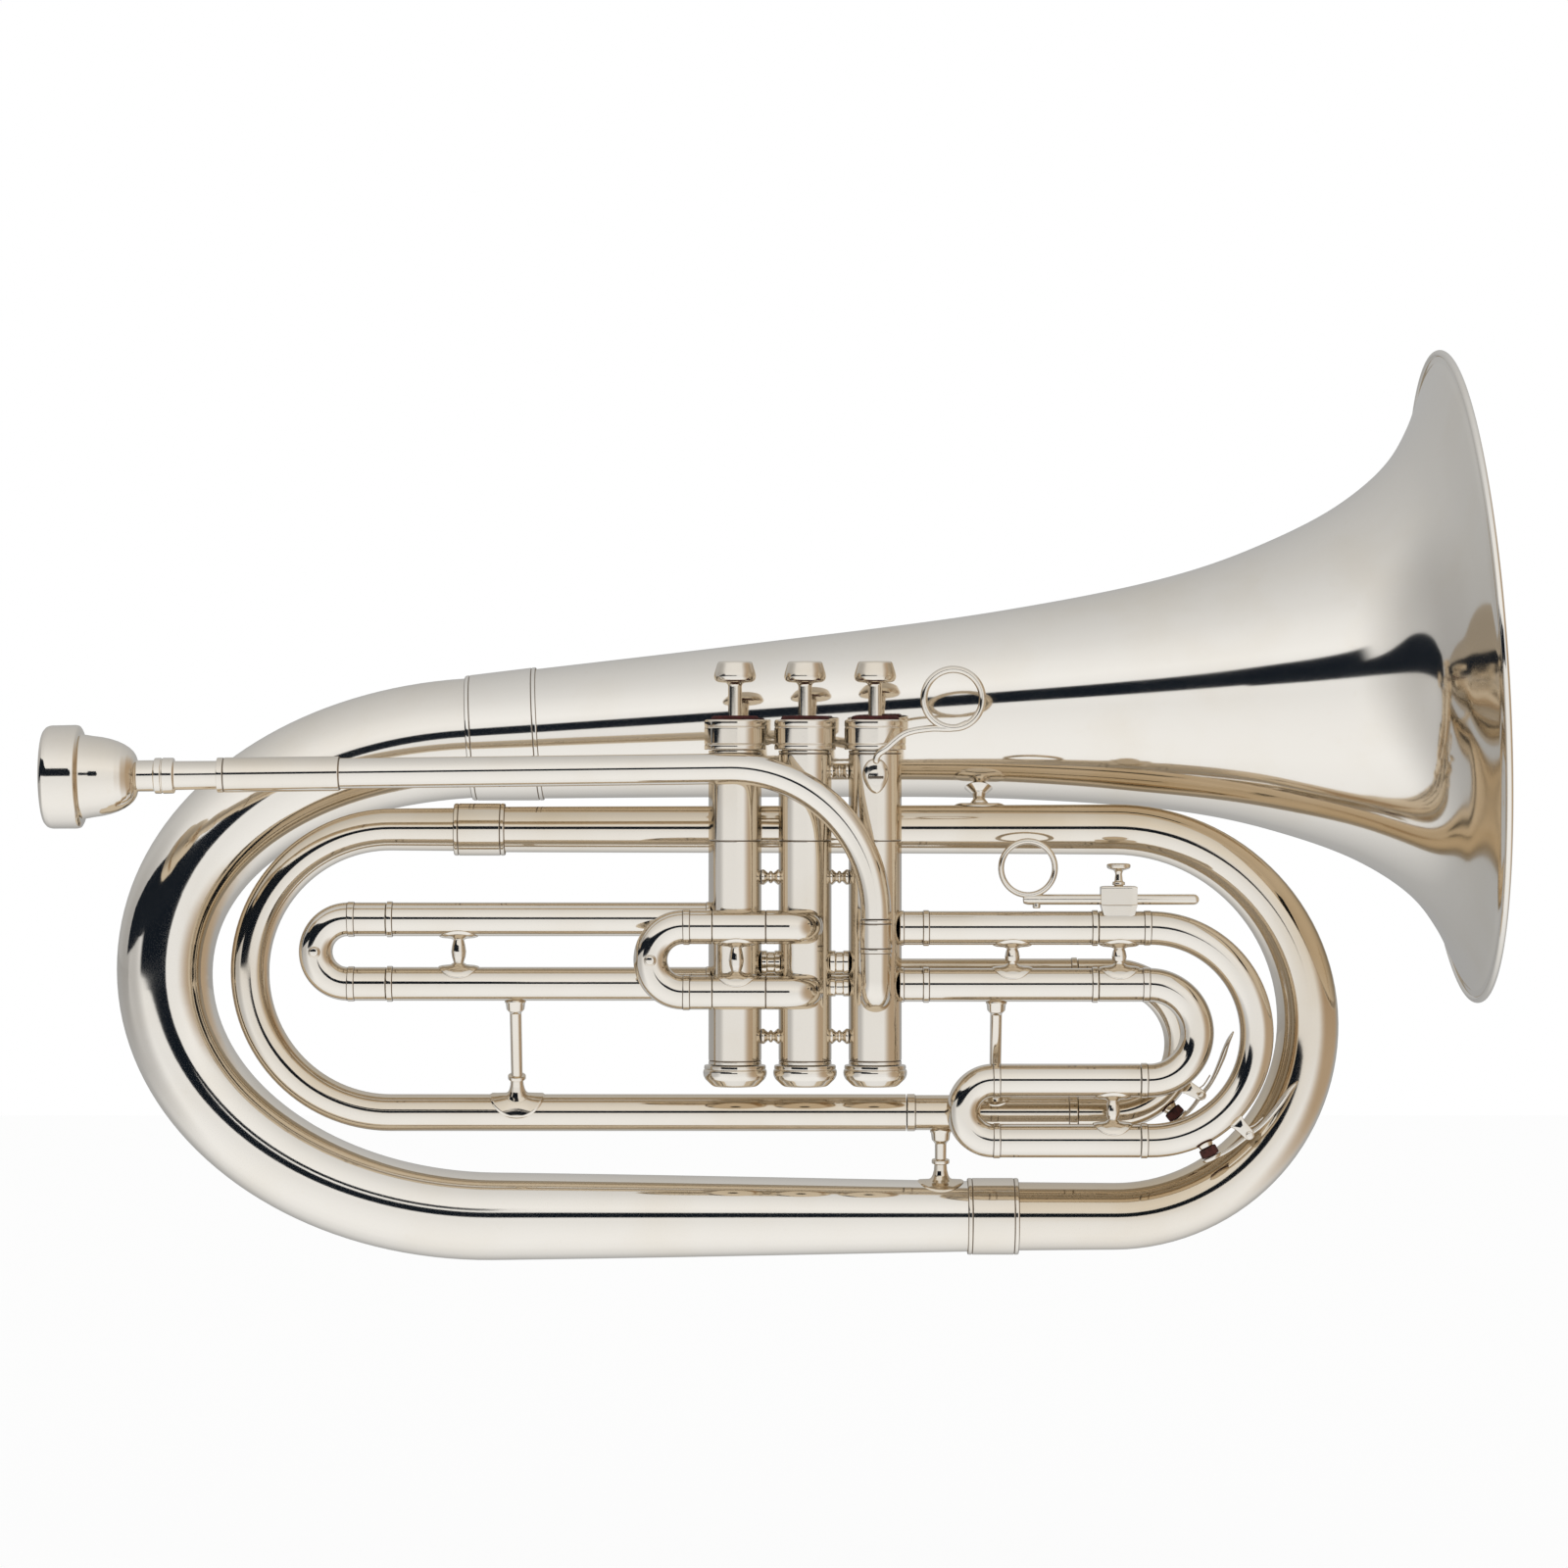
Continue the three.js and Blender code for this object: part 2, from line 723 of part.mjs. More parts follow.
// The least gap of a coil's wire to itself, measured between the points of its skin that are half
// a curl or more apart.
function leastSelfGap(points) {
  const apart = Math.ceil(springStepsPerCurl / 2) * springSides * 3;
  let least = Infinity;
  for (let i = 0; i < points.length; i += 3) {
    for (let j = i + apart; j < points.length; j += 3) {
      least = Math.min(least, Math.hypot(points[i] - points[j], points[i + 1] - points[j + 1],
        points[i + 2] - points[j + 2]));
    }
  }
  if (least <= springLeastGap) throw new Error(`a valve spring's wire is ${least} mm from itself`);
  return least;
}

const springGaps = [];

// A coil spring between the bottom cap and the piston, one unbroken wire.
function valveSpring(x) {
  const low = bottomCapFloor + joinGap + springWireRadius;
  const high = pistonBottom - joinGap - springWireRadius;
  const steps = springCurls * springStepsPerCurl;
  const points = [];
  const faces = [];
  const climb = (high - low) / steps;
  for (let i = 0; i <= steps; i += 1) {
    const turn = (2 * Math.PI * i) / springStepsPerCurl;
    for (let k = 0; k < springSides; k += 1) {
      const angle = (2 * Math.PI * k) / springSides;
      const radius = springRadius + springWireRadius * Math.cos(angle);
      const rise = springWireRadius * Math.sin(angle);
      points.push(radius * Math.cos(turn), radius * Math.sin(turn), low + climb * i + rise);
    }
  }
  springGaps.push(leastSelfGap(points));
  const ring = (i, k) => i * springSides + (k % springSides);
  for (let i = 0; i < steps; i += 1) {
    for (let k = 0; k < springSides; k += 1) {
      faces.push(ring(i, k), ring(i + 1, k), ring(i + 1, k + 1));
      faces.push(ring(i, k), ring(i + 1, k + 1), ring(i, k + 1));
    }
  }
  for (let k = 1; k < springSides - 1; k += 1) {
    faces.push(ring(0, 0), ring(0, k), ring(0, k + 1));
    faces.push(ring(steps, 0), ring(steps, k + 1), ring(steps, k));
  }
  const geometry = new THREE.BufferGeometry();
  geometry.setAttribute('position', new THREE.Float32BufferAttribute(points, 3));
  geometry.setIndex(faces);
  const closed = outward(geometry);
  closed.translate(x, 0, 0);
  return closed;
}

function buildValves() {
  for (const [key, x] of Object.entries(valveXs)) {
    addPiece(`valve_${key}_casing`, casing(key));
    addPiece(`valve_${key}_piston`, piston(x), finish(steel, 0.3, 1));
    addPiece(`valve_${key}_spring`, valveSpring(x), finish(steel, 0.35, 1));
    addPiece(`valve_${key}_top_cap`, topCap(x));
    addPiece(`valve_${key}_felt`, felt(x), finish(feltRed, 0.95, 0));
    addPiece(`valve_${key}_finger_button`, fingerButton(x), finish(warmSilver, 0.2, 1));
    addPiece(`valve_${key}_bottom_cap`, bottomCap(x));
  }
}

// Mouthpiece, receiver, leadpipe and elbow
const leadpipeBendX = leadpipeDropX - leadpipeBendRadius;

function leadpipePoint(x) {
  return at(x, leadpipeY, leadpipeHeight + (x - leadpipeBendX) * Math.tan(leadpipeTilt));
}

function mouthpiece() {
  const rimEnd = mouthpieceRimLength;
  const bodyEnd = rimEnd + mouthpieceBodyLength;
  const bandStart = bodyEnd + mouthpieceNeckLength;
  const bandEnd = bandStart + mouthpieceBandLength;
  const end = receiverLeft - mouthpieceRimX + shankEngagement;
  const body = [0.35, 0.65, 0.9].map((share) => [
    mouthpieceNeckRadius + (mouthpieceBodyRadius - mouthpieceNeckRadius)
      * Math.sqrt(1 - share * share),
    rimEnd + mouthpieceBodyLength * share,
  ]);
  const cup = [0.8, 0.4].map((share) => [
    mouthpieceThroatRadius + (mouthpieceCupMouthRadius - mouthpieceThroatRadius)
      * Math.sqrt(1 - share * share),
    mouthpieceCupDepth * share,
  ]);
  const profile = [
    [mouthpieceRimRadius * 0.8, 0], [mouthpieceRimRadius * 0.97, rimEnd * 0.14],
    [mouthpieceRimRadius, rimEnd * 0.94],
    [mouthpieceBodyRadius, rimEnd], ...body, [mouthpieceNeckRadius, bodyEnd],
    [mouthpieceNeckRadius, bandStart], [mouthpieceBandRadius, bandStart],
    [mouthpieceBandRadius, bandEnd], [shankRadius, bandEnd], [shankRadius, end],
    [mouthpieceBackboreRadius, end], [mouthpieceThroatRadius, mouthpieceCupDepth],
    ...cup, [mouthpieceCupMouthRadius, mouthpieceRimLength * 0.1],
  ];
  const geometry = revolve(profile, mouthpieceSides);
  geometry.rotateY(Math.PI / 2 - leadpipeTilt);
  const rim = leadpipePoint(mouthpieceRimX);
  geometry.translate(rim.x, rim.y, rim.z);
  return geometry;
}

function mouthpieceReceiver() {
  const path = [straight(leadpipePoint(receiverLeft), leadpipePoint(receiverRight))];
  const length = pathLength(path);
  const seat = shankRadius + slideGap;
  const socket = leadpipeRadius + joinGap;
  const step = length - leadpipeEngagement - joinGap;
  return tube(path, [[0, receiverRadius], [length, receiverRadius]],
    [[0, seat], [step, seat], [step, socket], [length, socket]]);
}

function leadpipe() {
  const bendZ = leadpipeHeight - leadpipeBendRadius;
  const path = [
    straight(leadpipePoint(receiverRight - leadpipeEngagement), leadpipePoint(leadpipeBendX)),
    bend(at(leadpipeBendX, leadpipeY, bendZ), leadpipeBendRadius, Math.PI / 2, 0, bendSteps),
    straight(at(leadpipeDropX, leadpipeY, bendZ), at(leadpipeDropX, leadpipeY, leadpipeEndHeight)),
  ];
  return evenTube(path, leadpipeRadius, leadpipeRadius - tubeWall);
}

function leadpipeElbow() {
  const turn = -leadpipeY - casingRadius;
  const top = at(leadpipeDropX, leadpipeY, leadpipeEndHeight - joinGap);
  const low = at(leadpipeDropX, leadpipeY, elbowHeight + turn);
  const path = [
    straight(top, low),
    quarter(low, down, back, turn),
    straight(at(leadpipeDropX, -casingRadius, elbowHeight), at(leadpipeDropX, -boreRadius, elbowHeight)),
  ];
  const length = pathLength(path);
  const sleeve = leadpipeRadius + leadpipeFerruleRise;
  const geometry = tube(path,
    [[0, sleeve], [leadpipeFerruleLength, sleeve], [leadpipeFerruleLength, leadpipeRadius],
      [length, elbowEndRadius]],
    [[0, leadpipeRadius - tubeWall], [length, elbowEndRadius - tubeWall]], tubeSides, right,
    Math.PI / 2);
  return cut(geometry, casingRoom(valveXs.three));
}

function buildLeadpipe() {
  addPiece('mouthpiece', mouthpiece());
  addPiece('mouthpiece_receiver', mouthpieceReceiver());
  addPiece('leadpipe', leadpipe());
  addPiece('leadpipe_elbow', leadpipeElbow());
}

// Receivers: the fixed outer tubes that the slides' legs run in
const receiverBore = slideTubeRadius - tubeWall;

function straightReceiver(valveX, endX, z, collars, fittings = []) {
  const path = [straight(at(valveX, 0, z), at(endX, 0, z))];
  const length = pathLength(path);
  const outer = collared(length, slideTubeRadius, [...collars, length - collarWidth / 2]);
  return cut(fittedTube(path, outer, receiverBore, fittings), casingRoom(valveX));
}

// A receiver that leaves the front or the back of a casing and turns to run beside the valves
function elbowReceiver(valveX, toward, depth, outOf, endX, z, collar, fittings = []) {
  const turn = Math.abs(depth) - casingRadius;
  const edge = at(valveX, toward.y * casingRadius, z);
  const corner = at(valveX, depth, z).addScaledVector(outOf, turn);
  const path = [
    straight(at(valveX, toward.y * boreRadius, z), edge),
    quarter(edge, toward, outOf, turn),
    straight(corner, at(endX, depth, z)),
  ];
  const length = pathLength(path);
  const outer = collared(length, slideTubeRadius, collar ? [length - collarWidth / 2] : []);
  const geometry = fittedTube(path, outer, receiverBore, fittings, up, Math.PI / 2);
  return cut(geometry, casingRoom(valveX));
}

// A small turned post between two tubes, with a ball and a saucer, that rises from the lower one
function slideBrace(x, y, lowZ, highZ, tubeRadius = slideTubeRadius) {
  const low = lowZ + tubeRadius * 0.6;
  const high = highZ - tubeRadius * 0.8;
  const middle = (lowZ + highZ) / 2;
  const saucerTop = lowZ + tubeRadius + slideBraceSaucerHeight;
  const profile = [
    [0, low], [slideBraceSaucerRadius, low], [slideBraceSaucerRadius, lowZ + tubeRadius],
    [slideBraceRadius, saucerTop], [slideBraceBallRadius, middle + slideBraceSaucerHeight],
    [slideBraceRadius, high - slideBraceBallRadius], [slideBraceBallRadius, high], [0, high],
  ];
  const geometry = revolve(profile, smallSides);
  geometry.translate(x, y, 0);
  return cut(geometry, tubeRoom(at(x, y, highZ), right, tubeRadius));
}

// The room that a straight tube takes, along a direction on both sides of a point
function tubeRoom(centre, along, radius, endRadius = radius) {
  const reach = postFlangeRadius * 2;
  const flats = Math.cos(Math.PI / roomSides);
  const room = new THREE.CylinderGeometry((endRadius + joinGap) / flats,
    (radius + joinGap) / flats, reach * 2, roomSides);
  return aligned(room, centre, along);
}

function buildReceivers() {
  const { one, two, three } = valveXs;
  addPiece('first_slide_high_receiver',
    straightReceiver(one, firstReceiverEndX, firstSlideHighZ, []));
  addPiece('first_slide_low_receiver', straightReceiver(one, firstReceiverEndX, firstSlideLowZ, [],
    [slideBrace(firstBraceX, 0, firstSlideLowZ, firstSlideHighZ)]));
  addPiece('second_slide_high_receiver', elbowReceiver(two, front, secondSlideY, left,
    secondReceiverEndX, secondSlideHighZ, false));
  addPiece('second_slide_low_receiver', elbowReceiver(two, front, secondSlideY, left,
    secondReceiverEndX, secondSlideLowZ, false,
    [slideBrace(secondBraceX, secondSlideY, secondSlideLowZ, secondSlideHighZ)]));
  const ring = thirdRingX - three;
  addPiece('third_slide_high_receiver',
    straightReceiver(three, thirdReceiverEndX, thirdSlideHighZ, [ring]));
  addPiece('third_slide_low_receiver',
    straightReceiver(three, thirdReceiverEndX, thirdSlideLowZ, [ring],
      [slideBrace(thirdFixedBraceX, 0, thirdSlideLowZ, thirdSlideHighZ)]));
  addPiece('tuning_high_receiver', elbowReceiver(one, back, tuningY, right,
    tuningReceiverEndX, tuningHighZ, true));
  const path = [straight(at(tuningLowReceiverX, tuningY, innerBowBottomZ),
    at(tuningReceiverEndX, tuningY, innerBowBottomZ))];
  const length = pathLength(path);
  const outer = collared(length, tuningLowReceiverRadius,
    [tuningJointCollarWidth / 2, length - tuningJointCollarWidth / 2], tuningJointCollarWidth);
  addPiece('tuning_low_receiver', tube(path, outer, [[0, receiverBore], [length, receiverBore]]));
}

// Slides. Each has thin legs that run inside the receivers, and a bow as wide as the receivers.
function slideOuter(path, firstLeg, lastLeg, ferrules) {
  const length = pathLength(path);
  const start = firstLeg > 0 ? [[0, legRadius], [firstLeg, legRadius]] : [];
  const end = lastLeg > 0 ? [[length - lastLeg, legRadius], [length, legRadius]] : [];
  const middle = collared(length - firstLeg - lastLeg, slideTubeRadius,
    ferrules.map((place) => place - firstLeg), bowFerruleWidth, bowFerruleRise)
    .map(([place, radius]) => [place + firstLeg, radius]);
  return [...start, ...middle, ...end];
}

function slideTube(path, firstLeg, lastLeg, ferrules, fittings = []) {
  return fittedTube(path, slideOuter(path, firstLeg, lastLeg, ferrules), boreRadius, fittings);
}

// A U of tubing that opens to one side: leg, half circle, leg
function uPath(highLegX, lowLegX, bowX, y, highZ, lowZ, steps) {
  const radius = (highZ - lowZ) / 2;
  const middle = (highZ + lowZ) / 2;
  const low = bowX < highLegX ? (3 * Math.PI) / 2 : -Math.PI / 2;
  return [
    straight(at(highLegX, y, highZ), at(bowX, y, highZ)),
    bend(at(bowX, y, middle), radius, Math.PI / 2, low, steps),
    straight(at(bowX, y, lowZ), at(lowLegX, y, lowZ)),
  ];
}

function nipple(x, y, z) {
  return rod(at(x, y, z), at(x, y - slideTubeRadius - nippleHeight, z), nippleRadius);
}

function pullSlide(receiverEndX, legLength, bowX, y, highZ, lowZ) {
  const legX = receiverEndX + legLength;
  const leg = legLength + joinGap;
  const path = uPath(legX, legX, bowX, y, highZ, lowZ, smallBendSteps);
  const ferrule = legX - bowX - bowFerruleWidth / 2;
  const length = pathLength(path);
  const radius = (highZ - lowZ) / 2;
  return slideTube(path, leg, leg, [ferrule, length - ferrule],
    [nipple(bowX - radius, y, (highZ + lowZ) / 2)]);
}

// Water keys. In a key's own frame Z points out from the bow, X runs back to the cork, and the
// origin is the centre of the bow's bend.
function keyFrame(centre, angle) {
  const frame = new THREE.Matrix4().makeRotationY(Math.PI / 2 - angle);
  return frame.setPosition(centre);
}

function box(fromX, toX, fromY, toY, fromZ, toZ) {
  const geometry = new THREE.BoxGeometry(toX - fromX, toY - fromY, toZ - fromZ);
  geometry.translate((fromX + toX) / 2, (fromY + toY) / 2, (fromZ + toZ) / 2);
  return geometry;
}

function keyHinge(bendRadius) {
  return bendRadius + slideTubeRadius + keyHingeRise;
}

// The soldered ears with their pin, and the seat round the water hole
function keySaddle(centre, angle, bendRadius) {
  const hinge = keyHinge(bendRadius);
  const innerFace = keyHubWidth / 2 + keyPinClearance;
  const outerFace = innerFace + keyEarThickness;
  const foot = bendRadius + slideTubeRadius * 0.5;
  const crown = hinge + keyHubRadius * 0.7;
  const pieces = [-1, 1].map((side) => box(-keyEarWidth / 2, keyEarWidth / 2,
    Math.min(side * innerFace, side * outerFace), Math.max(side * innerFace, side * outerFace),
    foot, crown));
  pieces.push(rod(at(0, -outerFace, hinge), at(0, outerFace, hinge), keyPinRadius));
  const frame = keyFrame(centre, angle);
  pieces.forEach((piece) => piece.applyMatrix4(frame));
  const seatFrame = keyFrame(centre, angle - keySeatTurn);
  const seat = rod(at(0, 0, foot), at(0, 0, bendRadius + slideTubeRadius + keySeatRise), keySeatRadius);
  seat.applyMatrix4(seatFrame);
  return [...pieces, seat];
}

function waterHole(centre, angle, bendRadius) {
  const top = bendRadius + slideTubeRadius + keySeatRise + cutOverrun;
  const hole = rod(at(0, 0, bendRadius), at(0, 0, top), keyHoleRadius);
  return hole.applyMatrix4(keyFrame(centre, angle - keySeatTurn));
}

function waterKeyLever(bendRadius) {
  const hinge = keyHinge(bendRadius);
  const seatTop = bendRadius + slideTubeRadius + keySeatRise + joinGap + keyCorkHeight + joinGap;
  const cupTop = seatTop + keyCupHeight;
  const cup = rod(at(0, 0, seatTop), at(0, 0, cupTop), keyCupRadius, tubeSides);
  cup.rotateY(keySeatTurn);
  const cupCentre = at(0, 0, cupTop - keyCupHeight / 2).applyAxisAngle(back, keySeatTurn);
  const half = keyLeverThickness / 2;
  const outline = [
    [cupCentre.x, cupCentre.z - half], [cupCentre.x, cupCentre.z + half],
    [keyPinRadius, hinge + half], [-keyPinRadius, hinge + half],
    [-keyTipLength, hinge - keyTipDrop + half], [-keyTipLength, hinge - keyTipDrop - half],
    [-keyPinRadius, hinge - half], [keyPinRadius, hinge - half],
  ];
  const shape = new THREE.Shape(outline.map(([x, z]) => new THREE.Vector2(x, z)));
  const arm = new THREE.ExtrudeGeometry(shape, { depth: keyHubWidth, bevelEnabled: false });
  arm.rotateX(Math.PI / 2);
  arm.translate(0, keyHubWidth / 2, 0);
  const hub = rod(at(0, -keyHubWidth / 2, hinge), at(0, keyHubWidth / 2, hinge), keyHubRadius);
  const bore = rod(at(0, -keyHubWidth, hinge), at(0, keyHubWidth, hinge),
    keyPinRadius + keyPinClearance);
  return cut(joined(outward(arm), hub, cup), bore);
}

function waterKeyCork(bendRadius) {
  const foot = bendRadius + slideTubeRadius + keySeatRise + joinGap;
  const geometry = rod(at(0, 0, foot), at(0, 0, foot + keyCorkHeight), keyCorkRadius, tubeSides);
  geometry.rotateY(keySeatTurn);
  return geometry;
}

function addWaterKey(prefix, centre, angle, bendRadius) {
  const mount = new THREE.Group();
  mount.position.copy(centre);
  mount.rotation.y = Math.PI / 2 - angle;
  euphonium.add(mount);
  addPiece(`${prefix}_water_key`, waterKeyLever(bendRadius), finish(warmSilver, 0.25, 1), mount);
  addPiece(`${prefix}_key_cork`, waterKeyCork(bendRadius), finish(corkBrown, 0.9, 0), mount);
}

function buildSlides() {
  addPiece('first_slide', pullSlide(
    firstReceiverEndX, firstLegLength, firstBowX, 0, firstSlideHighZ, firstSlideLowZ));
  addPiece('second_slide', pullSlide(
    secondReceiverEndX, secondLegLength, secondBowX, secondSlideY, secondSlideHighZ,
    secondSlideLowZ));

  const tuningLegX = tuningReceiverEndX - tuningLegLength;
  const tuningPath = uPath(tuningLegX, tuningLegX, tuningBowX, tuningY, tuningHighZ,
    innerBowBottomZ, bendSteps);
  const tuningLeg = tuningLegLength + joinGap;
  const tuningCentre = at(tuningBowX, tuningY, tuningBowZ);
  addPiece('tuning_slide', cut(slideTube(tuningPath, tuningLeg, tuningLeg, [],
    keySaddle(tuningCentre, tuningKeyAngle, tuningBendRadius)),
  waterHole(tuningCentre, tuningKeyAngle, tuningBendRadius)));
  addWaterKey('tuning', tuningCentre, tuningKeyAngle, tuningBendRadius);

  // The third slide doubles back: a wide bow, a narrow return bow, and an inner bow.
  const thirdLegX = thirdReceiverEndX - thirdLegLength;
  const thirdLeg = thirdLegLength + joinGap;
  const thirdBendRadius = (thirdSlideHighZ - thirdBottomZ) / 2;
  const thirdCentre = at(thirdBowX, 0, (thirdSlideHighZ + thirdBottomZ) / 2);
  const outerPath = uPath(thirdLegX, thirdJointX, thirdBowX, 0, thirdSlideHighZ, thirdBottomZ,
    bendSteps);
  const outerBow = slideTube(outerPath, thirdLeg, 0, [pathLength(outerPath) - bowFerruleWidth / 2],
    keySaddle(thirdCentre, thirdKeyAngle, thirdBendRadius));
  addPiece('third_slide_outer_bow',
    cut(outerBow, waterHole(thirdCentre, thirdKeyAngle, thirdBendRadius)));
  addWaterKey('third', thirdCentre, thirdKeyAngle, thirdBendRadius);

  const returnEndX = thirdJointX - joinGap;
  const returnPath = uPath(returnEndX, returnEndX, thirdReturnBowX, 0, thirdReturnZ, thirdBottomZ,
    smallBendSteps);
  const returnLength = pathLength(returnPath);
  const returnFerrule = returnEndX - thirdReturnBowX - bowFerruleWidth / 2;
  addPiece('third_slide_return_bow', slideTube(returnPath, 0, 0,
    [returnFerrule, returnLength - returnFerrule],
    [slideBrace(thirdLowBraceX, 0, thirdBottomZ, thirdReturnZ)]));

  const innerPath = uPath(thirdLegX, thirdJointX, thirdInnerBowX, 0, thirdSlideLowZ, thirdReturnZ,
    bendSteps);
  addPiece('third_slide_inner_bow', slideTube(innerPath, thirdLeg, 0,
    [pathLength(innerPath) - bowFerruleWidth / 2],
    [slideBrace(thirdHighBraceX, 0, thirdSlideLowZ, thirdSlideHighZ)]));
}

// The throw that the left hand pulls the third slide with
function buildThrow() {
  const bottom = thirdSlideHighZ + slideTubeRadius * 0.55;
  const body = box(throwBlockLeft, throwBlockRight, -throwBlockHalfWidth, throwBlockHalfWidth,
    bottom, throwBlockTop);
  const legCentre = at((throwBlockLeft + throwBlockRight) / 2, 0, thirdSlideHighZ);
  const rodHole = rod(at(throwBlockLeft - cutOverrun, 0, throwRodZ),
    at(throwBlockRight + cutOverrun, 0, throwRodZ), throwRodRadius + slideGap);
  const screwX = (throwBlockLeft + throwBlockRight) / 2;
  const screwHole = rod(at(screwX, 0, throwRodZ), at(screwX, 0, throwBlockTop + cutOverrun),
    screwStemRadius + slideGap);
  addPiece('throw_block', cut(body, tubeRoom(legCentre, right, slideTubeRadius), rodHole, screwHole));

  const ring = new THREE.TorusGeometry(throwRingRadius, throwRingWireRadius, wireSides, valveSides);
  ring.rotateX(Math.PI / 2);
  ring.translate(throwRingX, 0, throwRingZ);
  const footX = throwRingX + throwFootWidth;
  const foot = box(footX - throwFootWidth / 2, footX + throwFootWidth / 2, -throwRodRadius,
    throwRodRadius, throwFootBottom, throwRodZ);
  const shaft = rod(at(throwRingX - throwRodRadius, 0, throwRodZ), at(throwRodEndX, 0, throwRodZ),
    throwRodRadius);
  const clear = rod(at(throwRingX, -throwRingRadius, throwRingZ), at(throwRingX, throwRingRadius,
    throwRingZ), throwRingRadius - throwRingWireRadius, valveSides);
  addPiece('throw_ring_rod', cut(joined(outward(ring), shaft, foot), clear),
    finish(warmSilver, 0.25, 1));

  const screwFoot = throwRodZ + throwRodRadius + slideGap;
  const collar = screwStemRadius * 1.5;
  const screw = revolve([
    [0, screwFoot], [screwStemRadius, screwFoot], [screwStemRadius, throwBlockTop + joinGap],
    [collar, throwBlockTop + joinGap], [collar, throwBlockTop + screwStemRadius],
    [screwStemRadius, throwBlockTop + screwStemRadius], [screwStemRadius, screwHeadBottom],
    [screwHeadRadius, screwHeadBottom + screwHeadHeight * 0.3],
    [screwHeadRadius, screwHeadBottom + screwHeadHeight * 0.8],
    [screwHeadRadius * 0.8, screwHeadBottom + screwHeadHeight], [0, screwHeadBottom + screwHeadHeight],
  ], tubeSides);
  screw.translate(screwX, 0, 0);
  addPiece('throw_thumb_screw', screw, finish(warmSilver, 0.25, 1));
}

// Bell's form and place
const bellFlare = new THREE.CatmullRomCurve3(
  bellFlareShares.map(([distance, radius]) => at(distance * bellLength, radius * bellRimRadius, 0)),
  false, 'centripetal');

// The bell's radius at a distance from its rim, between the rings that it is drawn in
function bellRadiusAt(distance) {
  return radiusAt(bellFlare.getPoints(bellRings).map(({ x, y }) => [x, y]), distance);
}

// The bell passes behind the valve caps with a clearance, and stands over the top tube on its post.
const bellCapDistance = bellLength - (valveXs.three - bellFerruleX) / bellAxis.x;
const bellY = topCapRadius + bellCapClearance + bellRadiusAt(bellCapDistance);
const bellPostDistance = bellLength - (bellPostX - bellFerruleX) / bellAxis.x;
const topTubeShare = (bellPostX - topJointX) / (frontBowX - topJointX);
const topTubeRadius = THREE.MathUtils.lerp(frontBowStartRadius, frontBowTopRadius, topTubeShare);
const bellPostReach = bellRadiusAt(bellPostDistance) + bellPostLength + topTubeRadius;
const bellFerruleZ = frontBowTopZ + Math.sqrt(bellPostReach ** 2 - (bellY - branchY) ** 2)
  - (bellPostX - bellFerruleX) * Math.tan(bellTilt);
// The back bow ends as wide as the bell's throat is inside.
const backBowEndRadius = bellRadiusAt(bellLength) - bellWall;

// Conical branch: the tubing widens from the tuning slide to the bell.
function widening(path, places, wall) {
  const outer = places.map(([distance, radius]) => [distance, radius]);
  const inner = places.map(([distance, radius]) => [distance, radius - wall]);
  return tube(path, outer, inner, bowSides);
}

// Where a path's curves meet, as distances from its start
function joints(path) {
  return path.map((piece, i) => pathLength(path.slice(0, i + 1)));
}

// A ferrule over the joint of two tubes, given their radii at its start, middle and end
function sleeve(from, to, [startRadius, firstRadius, lastRadius, endRadius], sides = bowSides) {
  const path = [straight(from, to)];
  const length = pathLength(path);
  const half = length / 2;
  const inner = [[0, startRadius], [half, firstRadius], [half, lastRadius], [length, endRadius]]
    .map(([distance, radius]) => [distance, radius + joinGap]);
  const outer = [[0, startRadius], [length, endRadius]]
    .map(([distance, radius]) => [distance, radius + joinGap + ferruleWall]);
  return tube(path, outer, inner, sides);
}

// A quarter of an oval between two places, leaving and arriving in given directions
function sweepingQuarter(start, leaving, end, arriving, steps) {
  const reach = end.clone().sub(start);
  const first = start.clone().addScaledVector(leaving, quarterPull * Math.abs(reach.dot(leaving)));
  const second = end.clone().addScaledVector(arriving, -quarterPull * Math.abs(reach.dot(arriving)));
  return { curve: new THREE.CubicBezierCurve3(start, first, second, end), steps };
}

function bellPoint(distance) {
  return at(bellFerruleX, bellY, bellFerruleZ).addScaledVector(bellAxis, distance);
}

function backBow() {
  const start = at(bottomJointX - joinGap, branchY, frontBowBottomZ);
  const corner = at(backBowX, branchY, frontBowBottomZ);
  const leftmost = at(backBowLeftX, backBowLeftY, backBowLeftZ);
  const end = bellPoint(-bellFerruleLength / 2 - joinGap);
  const rising = at(0, (bellY - branchY) / 2, end.z - corner.z).normalize();
  const path = [
    straight(start, corner),
    sweepingQuarter(corner, left, leftmost, rising, bendSteps),
    sweepingQuarter(leftmost, rising, end, bellAxis, bendSteps),
    straight(end, bellPoint(-joinGap)),
  ];
  const [low, middle, high, length] = joints(path);
  return widening(path, [[0, backBowStartRadius], [low, backBowLowRadius],
    [middle, backBowLeftRadius], [high, backBowEndRadius], [length, backBowEndRadius]], bowWall);
}

